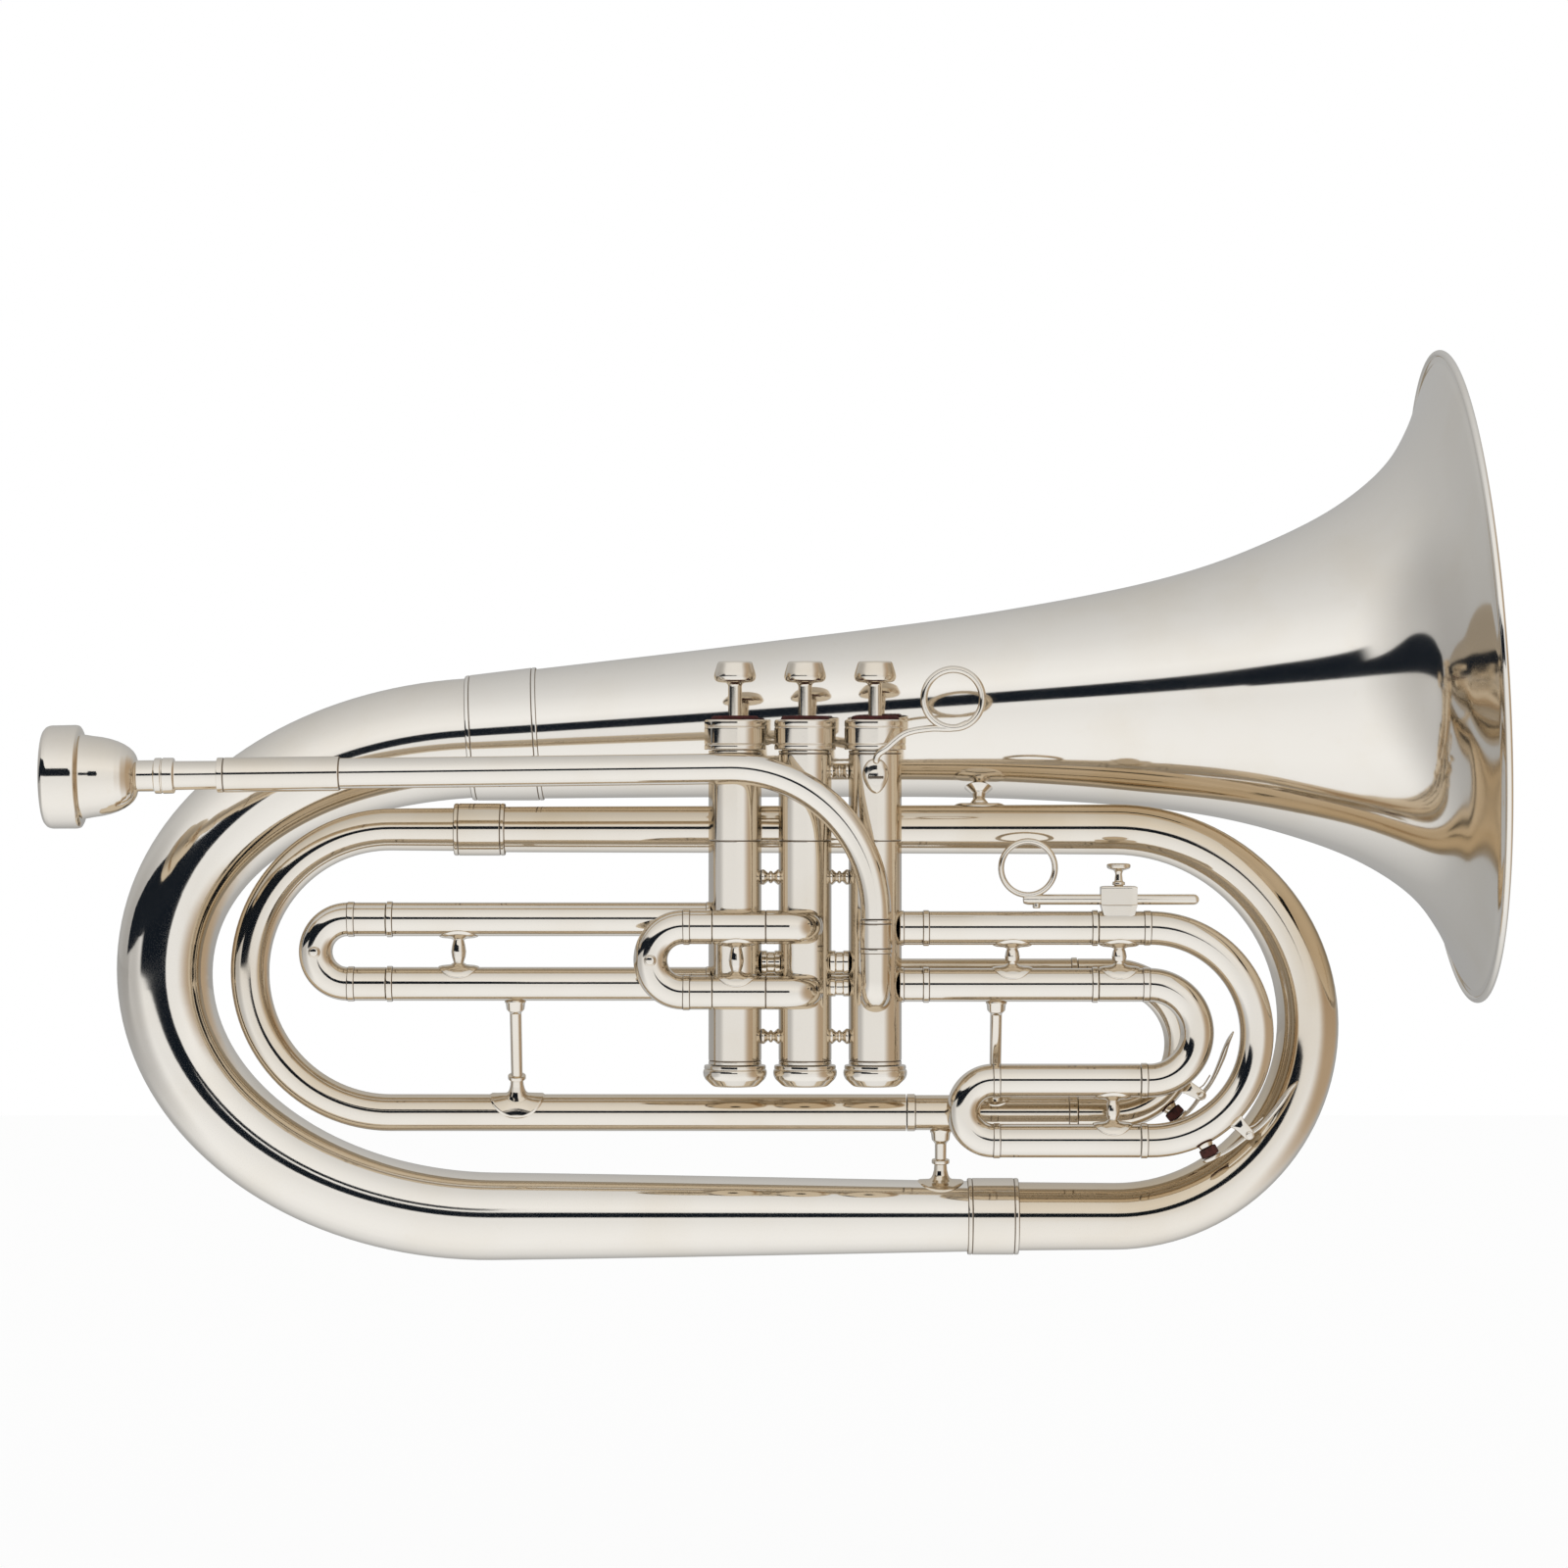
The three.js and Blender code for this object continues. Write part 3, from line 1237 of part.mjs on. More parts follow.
function buildBranch() {
  const innerPath = [
    straight(at(tuningLowReceiverX - joinGap, tuningY, innerBowBottomZ),
      at(innerBowX, tuningY, innerBowBottomZ)),
    bend(at(innerBowX, tuningY, innerBowZ), innerBowBendRadius, -Math.PI / 2, (-3 * Math.PI) / 2,
      largeBendSteps, branchY),
    straight(at(innerBowX, branchY, frontBowTopZ), at(topJointX - joinGap, branchY, frontBowTopZ)),
  ];
  const [innerLow, innerHigh, innerLength] = joints(innerPath);
  addPiece('inner_bow', widening(innerPath, [[0, innerBowStartRadius],
    [innerLow, innerBowStartRadius], [(innerLow + innerHigh) / 2, innerBowLeftRadius],
    [innerLength, innerBowEndRadius]], bowWall));

  const frontPath = [
    straight(at(topJointX, branchY, frontBowTopZ), at(frontBowX, branchY, frontBowTopZ)),
    bend(at(frontBowX, branchY, frontBowZ), frontBowBendRadius, Math.PI / 2, -Math.PI / 2,
      largeBendSteps),
    straight(at(frontBowX, branchY, frontBowBottomZ), at(bottomJointX, branchY, frontBowBottomZ)),
  ];
  const [frontTop, frontBottom, frontLength] = joints(frontPath);
  addPiece('front_bow', widening(frontPath, [[0, frontBowStartRadius], [frontTop, frontBowTopRadius],
    [(frontTop + frontBottom) / 2, frontBowRightRadius], [frontLength, frontBowEndRadius]], bowWall));
  addPiece('back_bow', backBow());

  const topRoom = frontBowStartRadius + joinGap;
  addPiece('top_ferrule', sleeve(at(topFerruleLeft, branchY, frontBowTopZ),
    at(topFerruleRight, branchY, frontBowTopZ),
    [topRoom, innerBowEndRadius, topRoom, topRoom]));
  const bottomRoom = backBowStartRadius + joinGap;
  addPiece('bottom_ferrule', sleeve(at(bottomFerruleLeft, branchY, frontBowBottomZ),
    at(bottomFerruleRight, branchY, frontBowBottomZ),
    [bottomRoom, bottomRoom, frontBowEndRadius, bottomRoom]));
}

// Bell
// A stretch of the bell between two of its rings. The last one ends in the rolled rim.
function bellStretch(first, last) {
  const outer = [];
  const inner = [];
  for (let i = first; i <= last; i += 1) {
    const t = 1 - i / bellRings;
    const point = bellFlare.getPoint(t);
    const along = bellFlare.getTangent(t);
    const seam = (i === first && first > 0) - (i === last && last < bellRings);
    const shift = (seam * joinGap) / 2;
    outer.push([point.y, bellLength - point.x + shift]);
    inner.push([point.y + along.x * -bellWall, bellLength - point.x - along.y * bellWall + shift]);
  }
  const bead = last === bellRings ? rolledRim(outer, inner) : [];
  const geometry = revolve([...outer, ...bead, ...inner.reverse()], bellSides);
  geometry.rotateY(Math.PI / 2 - bellTilt);
  const throat = bellPoint(0);
  geometry.translate(throat.x, throat.y, throat.z);
  return geometry;
}

function rolledRim(outer, inner) {
  outer.pop();
  const lip = inner.pop();
  const beadRadius = bellRimRadius - bellBeadRadius;
  const beadHeight = lip[1] - bellBeadRadius;
  const bead = [];
  for (let i = 0; i <= bellBeadSteps; i += 1) {
    const angle = THREE.MathUtils.lerp(-0.75 * Math.PI, Math.PI / 2, i / bellBeadSteps);
    bead.push([beadRadius + bellBeadRadius * Math.cos(angle),
      beadHeight + bellBeadRadius * Math.sin(angle)]);
  }
  return bead;
}

function buildBell() {
  const halfLength = bellFerruleLength / 2;
  addPiece('bell_ferrule', sleeve(bellPoint(-halfLength), bellPoint(halfLength),
    [backBowEndRadius, backBowEndRadius, bellRadiusAt(bellLength),
      bellRadiusAt(bellLength - halfLength) + joinGap], bellSides));
  const [low, high] = bellSeamRings;
  addPiece('bell_stem', bellStretch(0, low));
  addPiece('bell_body', bellStretch(low, high));
  addPiece('bell_flare', bellStretch(high, bellRings));
}

// Posts: a rod with a collar at its head and a collared saddle at its foot, shaped to both tubes
function post(head, headRadius, foot, footRadius) {
  const along = foot.clone().sub(head);
  const length = along.length();
  const first = headRadius * 0.75;
  const last = length - footRadius * 0.7;
  const collarEnd = headRadius + postCollarHeight;
  const flangeStart = length - footRadius - postFlangeHeight;
  const neckStart = flangeStart - postCollarHeight;
  const profile = [
    [0, first], [postCollarRadius, first], [postCollarRadius, collarEnd],
    [postRadius, collarEnd], [postRadius, neckStart], [postCollarRadius * 0.85, neckStart],
    [postCollarRadius * 0.85, flangeStart], [postFlangeRadius, flangeStart], [postFlangeRadius, last],
    [0, last],
  ];
  const body = revolve(profile, smallSides);
  body.applyQuaternion(new THREE.Quaternion().setFromUnitVectors(up, along.clone().normalize()));
  body.translate(head.x, head.y, head.z);
  return cut(joined(body, postSaddle(head, foot, footRadius)), tubeRoom(head, right, headRadius),
    tubeRoom(foot, right, footRadius));
}

// The thin plate that a post stands on: an oval bent round the tube
function postSaddle(head, foot, footRadius) {
  const toward = head.clone().sub(foot);
  const sheet = new THREE.CylinderGeometry(footRadius + joinGap + postSaddleWall,
    footRadius + joinGap + postSaddleWall, postSaddleLength, roomSides);
  const reach = footRadius + joinGap + postSaddleWall * 2;
  const outline = new THREE.CylinderGeometry(postSaddleLength / 2, postSaddleLength / 2, reach,
    tubeSides);
  outline.scale(1, 1, postSaddleWidth / postSaddleLength);
  outline.translate(0, reach / 2, 0);
  return shared(aligned(sheet, foot, right), aligned(outline, foot, toward));
}

function buildPosts() {
  const tuningLow = (x) => at(x, tuningY, innerBowBottomZ);
  const leftFoot = tuningLow(leftPostX);
  addPiece('left_post', post(at(leftPostX, 0, firstSlideLowZ), slideTubeRadius, leftFoot,
    innerBowStartRadius));
  const centreFoot = at(centrePostX, branchY, frontBowBottomZ);
  const footShare = (bottomJointX - centrePostX) / (bottomJointX - backBowX);
  const centreRadius = THREE.MathUtils.lerp(backBowStartRadius, backBowLowRadius, footShare);
  addPiece('centre_post', post(tuningLow(centrePostX), tuningLowReceiverRadius, centreFoot,
    centreRadius));
  const rightFoot = tuningLow(rightPostX);
  addPiece('right_post', post(at(rightPostX, 0, thirdSlideLowZ), slideTubeRadius, rightFoot,
    tuningLowReceiverRadius));
  addPiece('bell_post', bellPost());
}

// The short post between the top tube and the bell
function bellPost() {
  const bellCentre = bellPoint(bellLength - bellPostDistance);
  const reach = postFlangeRadius * 2;
  const radius = bellRadiusAt(bellPostDistance);
  const slope = (bellRadiusAt(bellPostDistance - reach) - bellRadiusAt(bellPostDistance + reach)) / 2;
  const tubeRadius = topTubeRadius;
  const foot = at(bellPostX, branchY, frontBowTopZ);
  const along = foot.clone().sub(bellCentre);
  const length = along.length();
  const profile = [
    [0, radius * 0.95], [postCollarRadius, radius * 0.95], [postCollarRadius, radius + postRadius],
    [postRadius, radius + postRadius], [postRadius, length - tubeRadius - postFlangeHeight],
    [postFlangeRadius, length - tubeRadius - postFlangeHeight],
    [postFlangeRadius, length - tubeRadius * 0.75], [0, length - tubeRadius * 0.75],
  ];
  const body = revolve(profile, smallSides);
  body.applyQuaternion(new THREE.Quaternion().setFromUnitVectors(up, along.normalize()));
  body.translate(bellCentre.x, bellCentre.y, bellCentre.z);
  return cut(joined(body, postSaddle(bellCentre, foot, tubeRadius)),
    tubeRoom(bellCentre, bellAxis, radius - slope, radius + slope),
    tubeRoom(foot, right, tubeRadius));
}

// Hook ring: a wire ring whose arm runs down to a plate on the third casing
function buildHookRing() {
  const ring = new THREE.TorusGeometry(hookRingRadius, hookWireRadius, wireSides, valveSides);
  ring.rotateX(Math.PI / 2);
  ring.translate(hookRingX, hookY, hookRingZ);
  const plateX = valveXs.three;
  const plateY = -casingRadius - joinGap - hookPlateDepth / 2;
  const plateTop = hookPlateZ + hookPlateHalfHeight * 0.6;
  const ringFoot = hookRingZ - hookRingRadius;
  const armSpan = hookRingX - plateX;
  const arm = new THREE.CatmullRomCurve3([
    at(hookRingX + hookArmRadius * 0.4, hookY, ringFoot),
    at(hookRingX - armSpan * 0.3, hookY, ringFoot),
    at(hookRingX - armSpan * 0.62, hookY, ringFoot - hookWireRadius),
    at(plateX + armSpan * 0.12, hookY, (ringFoot + plateTop) / 2 + hookWireRadius),
    at(plateX, plateY - hookPlateDepth / 2, plateTop),
  ]);
  const length = arm.getLength();
  const wire = tube([{ curve: arm, steps: smallBendSteps }], [[0, hookArmRadius],
    [length, hookArmRadius]], null, smallSides);
  const plate = rod(at(0, plateY - hookPlateDepth / 2, 0), at(0, -casingRadius * 0.8, 0),
    hookPlateHalfHeight);
  plate.scale(hookPlateHalfWidth / hookPlateHalfHeight, 1, 1);
  plate.translate(plateX, 0, hookPlateZ);
  const piece = cut(joined(outward(ring), wire, plate), casingRoom(valveXs.three));
  addPiece('hook_ring', piece, finish(warmSilver, 0.25, 1));
}

buildValves();
buildLeadpipe();
buildReceivers();
buildSlides();
buildThrow();
buildBranch();
buildBell();
buildPosts();
buildHookRing();
console.log(`valve springs, least gap to themselves: ${springGaps.map((gap) => gap.toFixed(2))} mm`);

export default euphonium;
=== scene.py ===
"""Marching euphonium in polished silver plate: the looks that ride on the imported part.

Sizes are in millimetres until a mesh is made. Every surface is a grid of points: an outline of
(distance, radius) pairs carried round and along a track.
"""

import math

import bpy
import numpy as np
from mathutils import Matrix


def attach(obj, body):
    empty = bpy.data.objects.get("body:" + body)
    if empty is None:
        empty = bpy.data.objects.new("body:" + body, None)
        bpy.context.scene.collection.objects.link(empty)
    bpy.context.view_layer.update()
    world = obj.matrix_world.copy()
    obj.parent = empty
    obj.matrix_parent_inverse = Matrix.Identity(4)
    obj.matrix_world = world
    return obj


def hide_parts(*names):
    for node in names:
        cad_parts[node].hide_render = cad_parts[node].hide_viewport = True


bl_info = {
    "name": "Marching Euphonium Looks",
    "version": (1, 0, 0),
    "blender": (4, 5, 0),
    "location": "3D View > Sidebar > Euphonium",
    "description": "Fine surfaces, finishes and studio for a silver marching euphonium",
    "category": "Object",
}

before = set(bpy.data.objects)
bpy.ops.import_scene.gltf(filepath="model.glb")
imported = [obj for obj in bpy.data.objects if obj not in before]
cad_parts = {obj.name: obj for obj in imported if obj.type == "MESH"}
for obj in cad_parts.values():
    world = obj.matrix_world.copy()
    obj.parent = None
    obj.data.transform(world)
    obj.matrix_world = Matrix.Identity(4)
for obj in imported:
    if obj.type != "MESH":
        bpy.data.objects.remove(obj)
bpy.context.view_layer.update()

MM = 0.001
RIGHT = np.array([1.0, 0.0, 0.0])
BACK = np.array([0.0, 1.0, 0.0])
UP = np.array([0.0, 0.0, 1.0])

# Curves, corners and shading
KAPPA = 0.5523
CORNER_STEPS = 4
SHADE_GUARD = 0.15
LONG_SIDE = 2.5
SHARP_ANGLE = 40
TRACK_REACH = 0.6

# Painted warm reflection of the studio and nearby tubes on the plate:
# its share on every face, and the share of it that a back face lacks
REFLECTION_EVERYWHERE = 0.22
REFLECTION_LOST_FACING_BACK = 0.75
WARM_REFLECTION_COLOUR = (0.715, 0.615, 0.475, 1)
SOLDER_COLOUR = (0.085, 0.048, 0.022, 1)
STEEL_BRIGHT = (0.62, 0.60, 0.57)
STEEL_STAIN = (0.45, 0.42, 0.38)

# The studio: its greys by degrees over the top, 0 at the front, and what else it reflects
ROOM_GREYS = ((-180, 0.36), (-150, 0.44), (-116, 0.74), (-88, 0.88), (-65, 0.92), (-45, 0.91),
              (-27, 0.88), (-9, 0.83), (12, 0.86), (27, 0.93), (45, 0.86), (65, 0.75),
              (88, 0.66), (116, 0.58), (150, 0.50), (180, 0.42))
ROOM_TINT = (1.0, 0.99, 0.972)
LEFT_GREY = (0.36, 0.35, 0.34, 1)
RIGHT_BROWN = (0.44, 0.33, 0.22, 1)
SECOND_TINT = (0.70, 0.61, 0.49, 1)
DIFFUSE_LIGHT = (0.92, 0.92, 0.92, 1)
BLACK_CLOTH = (0.006, 0.009, 0.014, 1)
WHITE = (1, 1, 1, 1)

# Camera and floor, in millimetres and metres
SENSOR_WIDTH = 36.0
LENS_LENGTH = 106.43
EYE_X = -0.00845
EYE_Z = 0.04755
FLOOR_HALF = 3.0
FLOOR_Z = -0.30

# Joints and walls
JOIN_GAP = 0.3
TUBE_WALL = 0.6
LEG_WALL = 0.5
BOW_WALL = 0.7
FERRULE_WALL = 0.8

# Valve block
VALVE_X = {"one": -28.1, "two": 0.0, "three": 28.1}
CASING_RADIUS = 10.6
CASING_TOP = 61.0
CASING_BOTTOM = -64.8
CAP_BASE = CASING_TOP + JOIN_GAP
CAP_TOP = CAP_BASE + 12.0
CAP_RECESS = CAP_TOP - 1.8
CAP_RADIUS = 12.3
FELT_TOP = CAP_RECESS + JOIN_GAP + 3.1
STEM_RADIUS = 2.75
STEM_TOP = 88.4
STEM_FOOT = CAP_RECESS - 1.6
BUTTON_TOP = STEM_TOP + 8.3
FOOT_CAP_TOP = CASING_BOTTOM - JOIN_GAP
FOOT_CAP_RADIUS = 12.8

# Valve slides
TUBE_RADIUS = 6.75
LEG_RADIUS = TUBE_RADIUS - TUBE_WALL - 0.3
BORE_RADIUS = LEG_RADIUS - LEG_WALL
STAY_CONTACT = 0.9
STAY_SIDES = 48
COLLAR_RISE = 0.45
FIRST_END_X = -167.7
FIRST_BOW_X = -183.3
FIRST_LEG = 105
SECOND_END_X = -36.8
SECOND_BOW_X = -48.5
SECOND_LEG = 22
THIRD_LEG = 70
FIRST_Z = (-6.7, -32.6)
SECOND_Z = (-9.3, -35.3)
SECOND_Y = -18.0
THIRD_Z = (-10.2, -33.0)
THIRD_RETURN_Z = -71.4
THIRD_BOTTOM_Z = -95.5
THIRD_BOW_X = 138.5
THIRD_INNER_X = 138.0
THIRD_RETURN_X = 75.5
THIRD_END_X = 117.4
THIRD_JOINT_X = 134.6

# Tuning slide
TUNING_LEG = 42
TUNING_Y = 18.0
TUNING_Z = -29.9
TUNING_BOW_X = 124.5
TUNING_END_X = 110.2
TUNING_LOW_X = 41.2
TUNING_LOW_RADIUS = 7.1

# Branch: a bow is the place of its bend's centre and the bend's radius
BRANCH_Y = 22.5
INNER_RADII = (7.45, 7.46, 7.8, 8.8)
FRONT_RADII = (9.2, 10.2, 12.4, 13.9)
BACK_RADII = (14.1, 17.7, 19.4, 24.6, 24.6)
INNER_BOW = (-167.6, -28.2, 57.3)
INNER_LOW_Z = INNER_BOW[1] - INNER_BOW[2]
FRONT_BOW = (125.6, -49.4, 78.5)
FRONT_TOP_Z = FRONT_BOW[1] + FRONT_BOW[2]
FRONT_LOW_Z = FRONT_BOW[1] - FRONT_BOW[2]
TOP_JOINT_X = -131.5
LOW_JOINT_X = 76.0
BACK_CORNER_X = -126.0
BACK_LEFT = np.array([-261.3, 34.0, -28.5])

# Leadpipe
LEAD_JOINT_Z = -6.0
ELBOW_Z = -37.4
LEAD_Y = -17.5
LEAD_TILT = math.radians(0.7)
LEAD_BEND = 57.6
LEAD_X = VALVE_X["three"]
LEAD_BEND_X = LEAD_X - LEAD_BEND
LEAD_Z = 53.6
LEAD_RADIUS = 6.1
RECEIVER_X = (-233.5, -184.8)
RIM_X = -302.4

# Bell: the flare is pairs of shares, of the length from the rim and of the rim's radius
BELL_TILT = math.radians(3.55)
BELL_AXIS = np.array([math.cos(BELL_TILT), 0.0, math.sin(BELL_TILT)])
BELL_THROAT = np.array([-123.3, 48.0, 67.3])
BELL_LENGTH = 393.3
BELL_RIM = 134.3
BELL_BEAD = 1.5
BELL_WALL = 0.6
BELL_FERRULE = 29.3
BELL_FLARE = [(0, 1), (0.0305, 0.79), (0.06, 0.665), (0.116, 0.542), (0.203, 0.432),
              (0.295, 0.357), (0.475, 0.284), (0.737, 0.231), (1, 0.188)]
BELL_NODES = ["bell_stem", "bell_body", "bell_flare"]

# Hook ring
HOOK_X = 58.9
HOOK_Z = 81.5
HOOK_RADIUS = 11.65
HOOK_WIRE = 1.45
HOOK_Y = -CAP_RADIUS - JOIN_GAP - HOOK_WIRE * 1.2


# Tracks and outlines

def unit(vectors):
    """Each vector divided by its own length."""
    vectors = np.asarray(vectors, float)
    return vectors / np.linalg.norm(vectors, axis=-1, keepdims=True)


def arrays(*things):
    """Each thing as an array of floats."""
    return [np.asarray(thing, float) for thing in things]


def circle(count):
    """Angles spread evenly over a full turn, in radians."""
    return np.linspace(0, 2 * np.pi, count, endpoint=False)


def running(steps):
    """The sums of steps so far, from 0."""
    return np.concatenate([[0], np.cumsum(steps)])


def smooth_step(t):
    """Three times the square of a share less twice its cube: it leaves 0 and reaches 1 level."""
    return t * t * (3 - 2 * t)


def line(start, end):
    """The two ends of a straight stretch."""
    return np.array([start, end], float)


def arc(x, z, radius, start, end, y, y_end=None):
    """Points of a circle in the XZ plane, angle from start to end in degrees, its depth going from
    y to y_end by the smooth step."""
    t = np.linspace(0, 1, max(int(abs(end - start) / 3), 6) + 1)
    angle = np.radians(start + (end - start) * t)
    depth = y + ((y if y_end is None else y_end) - y) * smooth_step(t)
    return np.stack([x + radius * np.cos(angle), depth, z + radius * np.sin(angle)], -1)


def bezier(a, b, c, d, count=40):
    """A cubic curve between a and d, pulled by b and c: the Bernstein sum of the four points."""
    t = np.linspace(0, 1, count)[:, None]
    a, b, c, d = arrays(a, b, c, d)
    return (1 - t) ** 3 * a + 3 * t * (1 - t) ** 2 * b + 3 * t * t * (1 - t) * c + t ** 3 * d


def quarter(start, into, out_of, radius):
    """A quarter turn of one radius that leaves start along one direction and ends along another."""
    start, into, out_of = arrays(start, into, out_of)
    end, pull = start + (into + out_of) * radius, KAPPA * radius
    return bezier(start, start + into * pull, end - out_of * pull, end, 20)


def sweeping_quarter(start, leaving, end, arriving):
    """A quarter of an oval between two places with a given direction at each."""
    start, leaving, end, arriving = arrays(start, leaving, end, arriving)
    reach = end - start
    first = start + leaving * KAPPA * abs(reach @ leaving)
    second = end - arriving * KAPPA * abs(reach @ arriving)
    return bezier(start, first, second, end)


def spline(knots, values, slopes, wanted):
    """Values at the wanted places: between two knots, the cubic Hermite sum of their values and of
    their slopes times the width between them."""
    i = np.clip(np.searchsorted(knots, wanted, side="right") - 1, 0, len(knots) - 2)
    shape = (-1, *[1] * (values.ndim - 1))
    h = (knots[i + 1] - knots[i]).reshape(shape)
    t = (wanted - knots[i]).reshape(shape) / h
    return ((2 * t ** 3 - 3 * t * t + 1) * values[i] + (t ** 3 - 2 * t * t + t) * h * slopes[i]
            + (3 * t * t - 2 * t ** 3) * values[i + 1] + (t ** 3 - t * t) * h * slopes[i + 1])


def through(points, count=60):
    """A smooth curve through points: a spline whose slopes are half the chord between each point's
    neighbours."""
    points = np.asarray(points, float)
    return spline(np.arange(len(points)), points, np.gradient(points, axis=0),
                  np.linspace(0, len(points) - 1, count))


class Track:
    """A path as a chain of points, each known by its distance from the start."""

    def __init__(self, *curves):
        points = np.vstack(curves)
        steps = np.linalg.norm(np.diff(points, axis=0), axis=1)
        self.points = np.vstack([points[:1], points[1:][steps > 1e-6]])
        self.places = running(steps[steps > 1e-6])
        self.length = self.places[-1]
        ends = np.cumsum([len(curve) for curve in curves]) - 1
        self.joints = running(steps)[ends]

    def at(self, distances):
        """Points at distances from the start, by straight steps between the chain's points."""
        return np.stack([np.interp(distances, self.places, axis) for axis in self.points.T], -1)

    def frames(self, distances, reference):
        """Points and two directions across the path: the reference less its part along the path,
        and the cross product of the path and that."""
        distances = np.asarray(distances, float)
        along = unit(self.at(np.minimum(distances + TRACK_REACH, self.length))
                     - self.at(np.maximum(distances - TRACK_REACH, 0)))
        across = unit(reference - along * (along @ reference)[:, None])
        return self.at(distances), across, np.cross(along, across)


def rows(outline):
    """An outline as an array of (distance, radius, seam), the seam 0 where none is given."""
    return np.array([(*row, 0.0)[:3] for row in outline], float)


def groove(place, radius, depth=0.22, half=0.3):
    """A fine solder groove, marked as a seam at its bottom."""
    return [(place - half, radius), (place - half * 0.5, radius - depth, 1.0),
            (place + half * 0.5, radius - depth, 1.0), (place + half, radius)]


def rounded(outline, bite, closed=False):
    """An outline with its corners eased: each corner becomes a quadratic curve that starts and ends
    bite before and after it, or at 0.45 of the shorter side. On a long side one more point beside
    the curve keeps the corner's shading from running along the side."""
    outline = rows(outline)
    before = np.roll(outline, 1, 0) - outline
    after = np.roll(outline, -1, 0) - outline
    low, high = np.hypot(*before[:, :2].T), np.hypot(*after[:, :2].T)
    reach = np.minimum(bite, 0.45 * np.minimum(low, high))
    if not closed:
        reach[0] = reach[-1] = 0
    low, high = np.maximum(low, 1e-9), np.maximum(high, 1e-9)
    start = outline + before * (reach / low)[:, None]
    end = outline + after * (reach / high)[:, None]
    t = np.linspace(0, 1, CORNER_STEPS + 1)[None, :, None]
    curve = ((1 - t) ** 2 * start[:, None] + 2 * t * (1 - t) * outline[:, None]
             + t * t * end[:, None])
    lead = start + before * (SHADE_GUARD / low)[:, None]
    trail = end + after * (SHADE_GUARD / high)[:, None]
    flat = np.concatenate([lead[:, None], curve, trail[:, None]], 1)
    used = np.ones(flat.shape[:2], bool)
    used[:, 0], used[:, -1] = low > LONG_SIDE, high > LONG_SIDE
    if not closed:
        used[0, 0] = used[-1, -1] = False
    flat = flat[used]
    keep = np.concatenate([[True], np.hypot(*np.diff(flat[:, :2], axis=0).T) > 1e-5])
    return flat[keep]


def follow(track, outline, closed=False):
    """The outline with a ring added at every point of the track that it passes, its radius read
    between its neighbours in a straight line."""
    outline = rows(outline)
    loop = np.vstack([outline, outline[:1]]) if closed else outline
    stretches = []
    for start, end in zip(loop[:-1], loop[1:]):
        stretches.append(start[None])
        low, high = sorted((start[0], end[0]))
        passed = track.places[(track.places > low + 0.2) & (track.places < high - 0.2)]
        if len(passed):
            passed = passed if end[0] > start[0] else passed[::-1]
            share = ((passed - start[0]) / (end[0] - start[0]))[:, None]
            stretches.append(start + (end - start) * share)
    if not closed:
        stretches.append(loop[-1:])
    return np.vstack(stretches)


def eased(places, radii, count=60):
    """Radii that pass smoothly through the given ones: a spline whose slope at each place is the
    harmonic mean of the slopes beside it, so it never overshoots."""
    places, radii = arrays(places, radii)
    slope = np.diff(radii) / np.diff(places)
    inner = np.where(slope[:-1] * slope[1:] > 0,
                     2 * slope[:-1] * slope[1:] / (slope[:-1] + slope[1:] + 1e-12), 0)
    slopes = np.concatenate([[slope[0]], inner, [slope[-1]]])
    wanted = np.linspace(places[0], places[-1], count)
    return np.stack([wanted, spline(places, radii, slopes, wanted)], -1)


# Surfaces: each is a vertex array, a face array of four indices and a seam value for each vertex

def weave(grid, closed, seam=0.0):
    """Faces between the rows of a grid whose rings close on themselves. A closed grid joins its
    last row to its first; an open one draws each end row together into one point."""
    count, sides = grid.shape[:2]
    seams = np.broadcast_to(np.reshape(seam, (-1, 1)), (count, sides)).ravel()
    index = np.arange(count * sides).reshape(count, sides)
    if closed:
        low, high = index, np.roll(index, -1, 0)
    else:
        index[0], index[-1] = index[0, 0], index[-1, 0]
        low, high = index[:-1], index[1:]
    faces = np.stack([low, np.roll(low, -1, 1), np.roll(high, -1, 1), high], -1).reshape(-1, 4)
    points = grid.reshape(-1, 3)
    a, b, c, d = (points[faces[:, k]] for k in range(4))
    volume = (a * np.cross(b, c)).sum() + (a * np.cross(c, d)).sum()
    return points, faces if volume > 0 else faces[:, ::-1], seams


def rings(centres, radii, first, second, sides):
    """A ring round each centre: the radius times the cosine of the angle along the first direction
    and times its sine along the second."""
    angle = circle(sides)[:, None]
    return centres[:, None] + radii[:, None, None] * (
        np.cos(angle) * first[..., None, :] + np.sin(angle) * second[..., None, :])


def carried(track, outline, sides, reference=BACK, closed=True):
    """A ring for each pair of the outline, round the track's point at that distance."""
    outline = rows(outline)
    centres, across, third = track.frames(outline[:, 0], reference)
    return weave(rings(centres, outline[:, 1], across, third, sides), closed, outline[:, 2])


def tube(track, outer, bore, sides=0, reference=BACK, bite=0.25):
    """A hollow tube: the outer outline, then the bore's backwards, as one closed loop. A bore of
    one radius is given as a number. Without a number of sides, the setting holds."""
    if isinstance(bore, float):
        bore = [(0, bore), (track.length, bore)]
    loop = follow(track, rounded([*outer, *bore[::-1]], bite, True), True)
    return carried(track, loop, sides or sizes().tube_sides, reference)


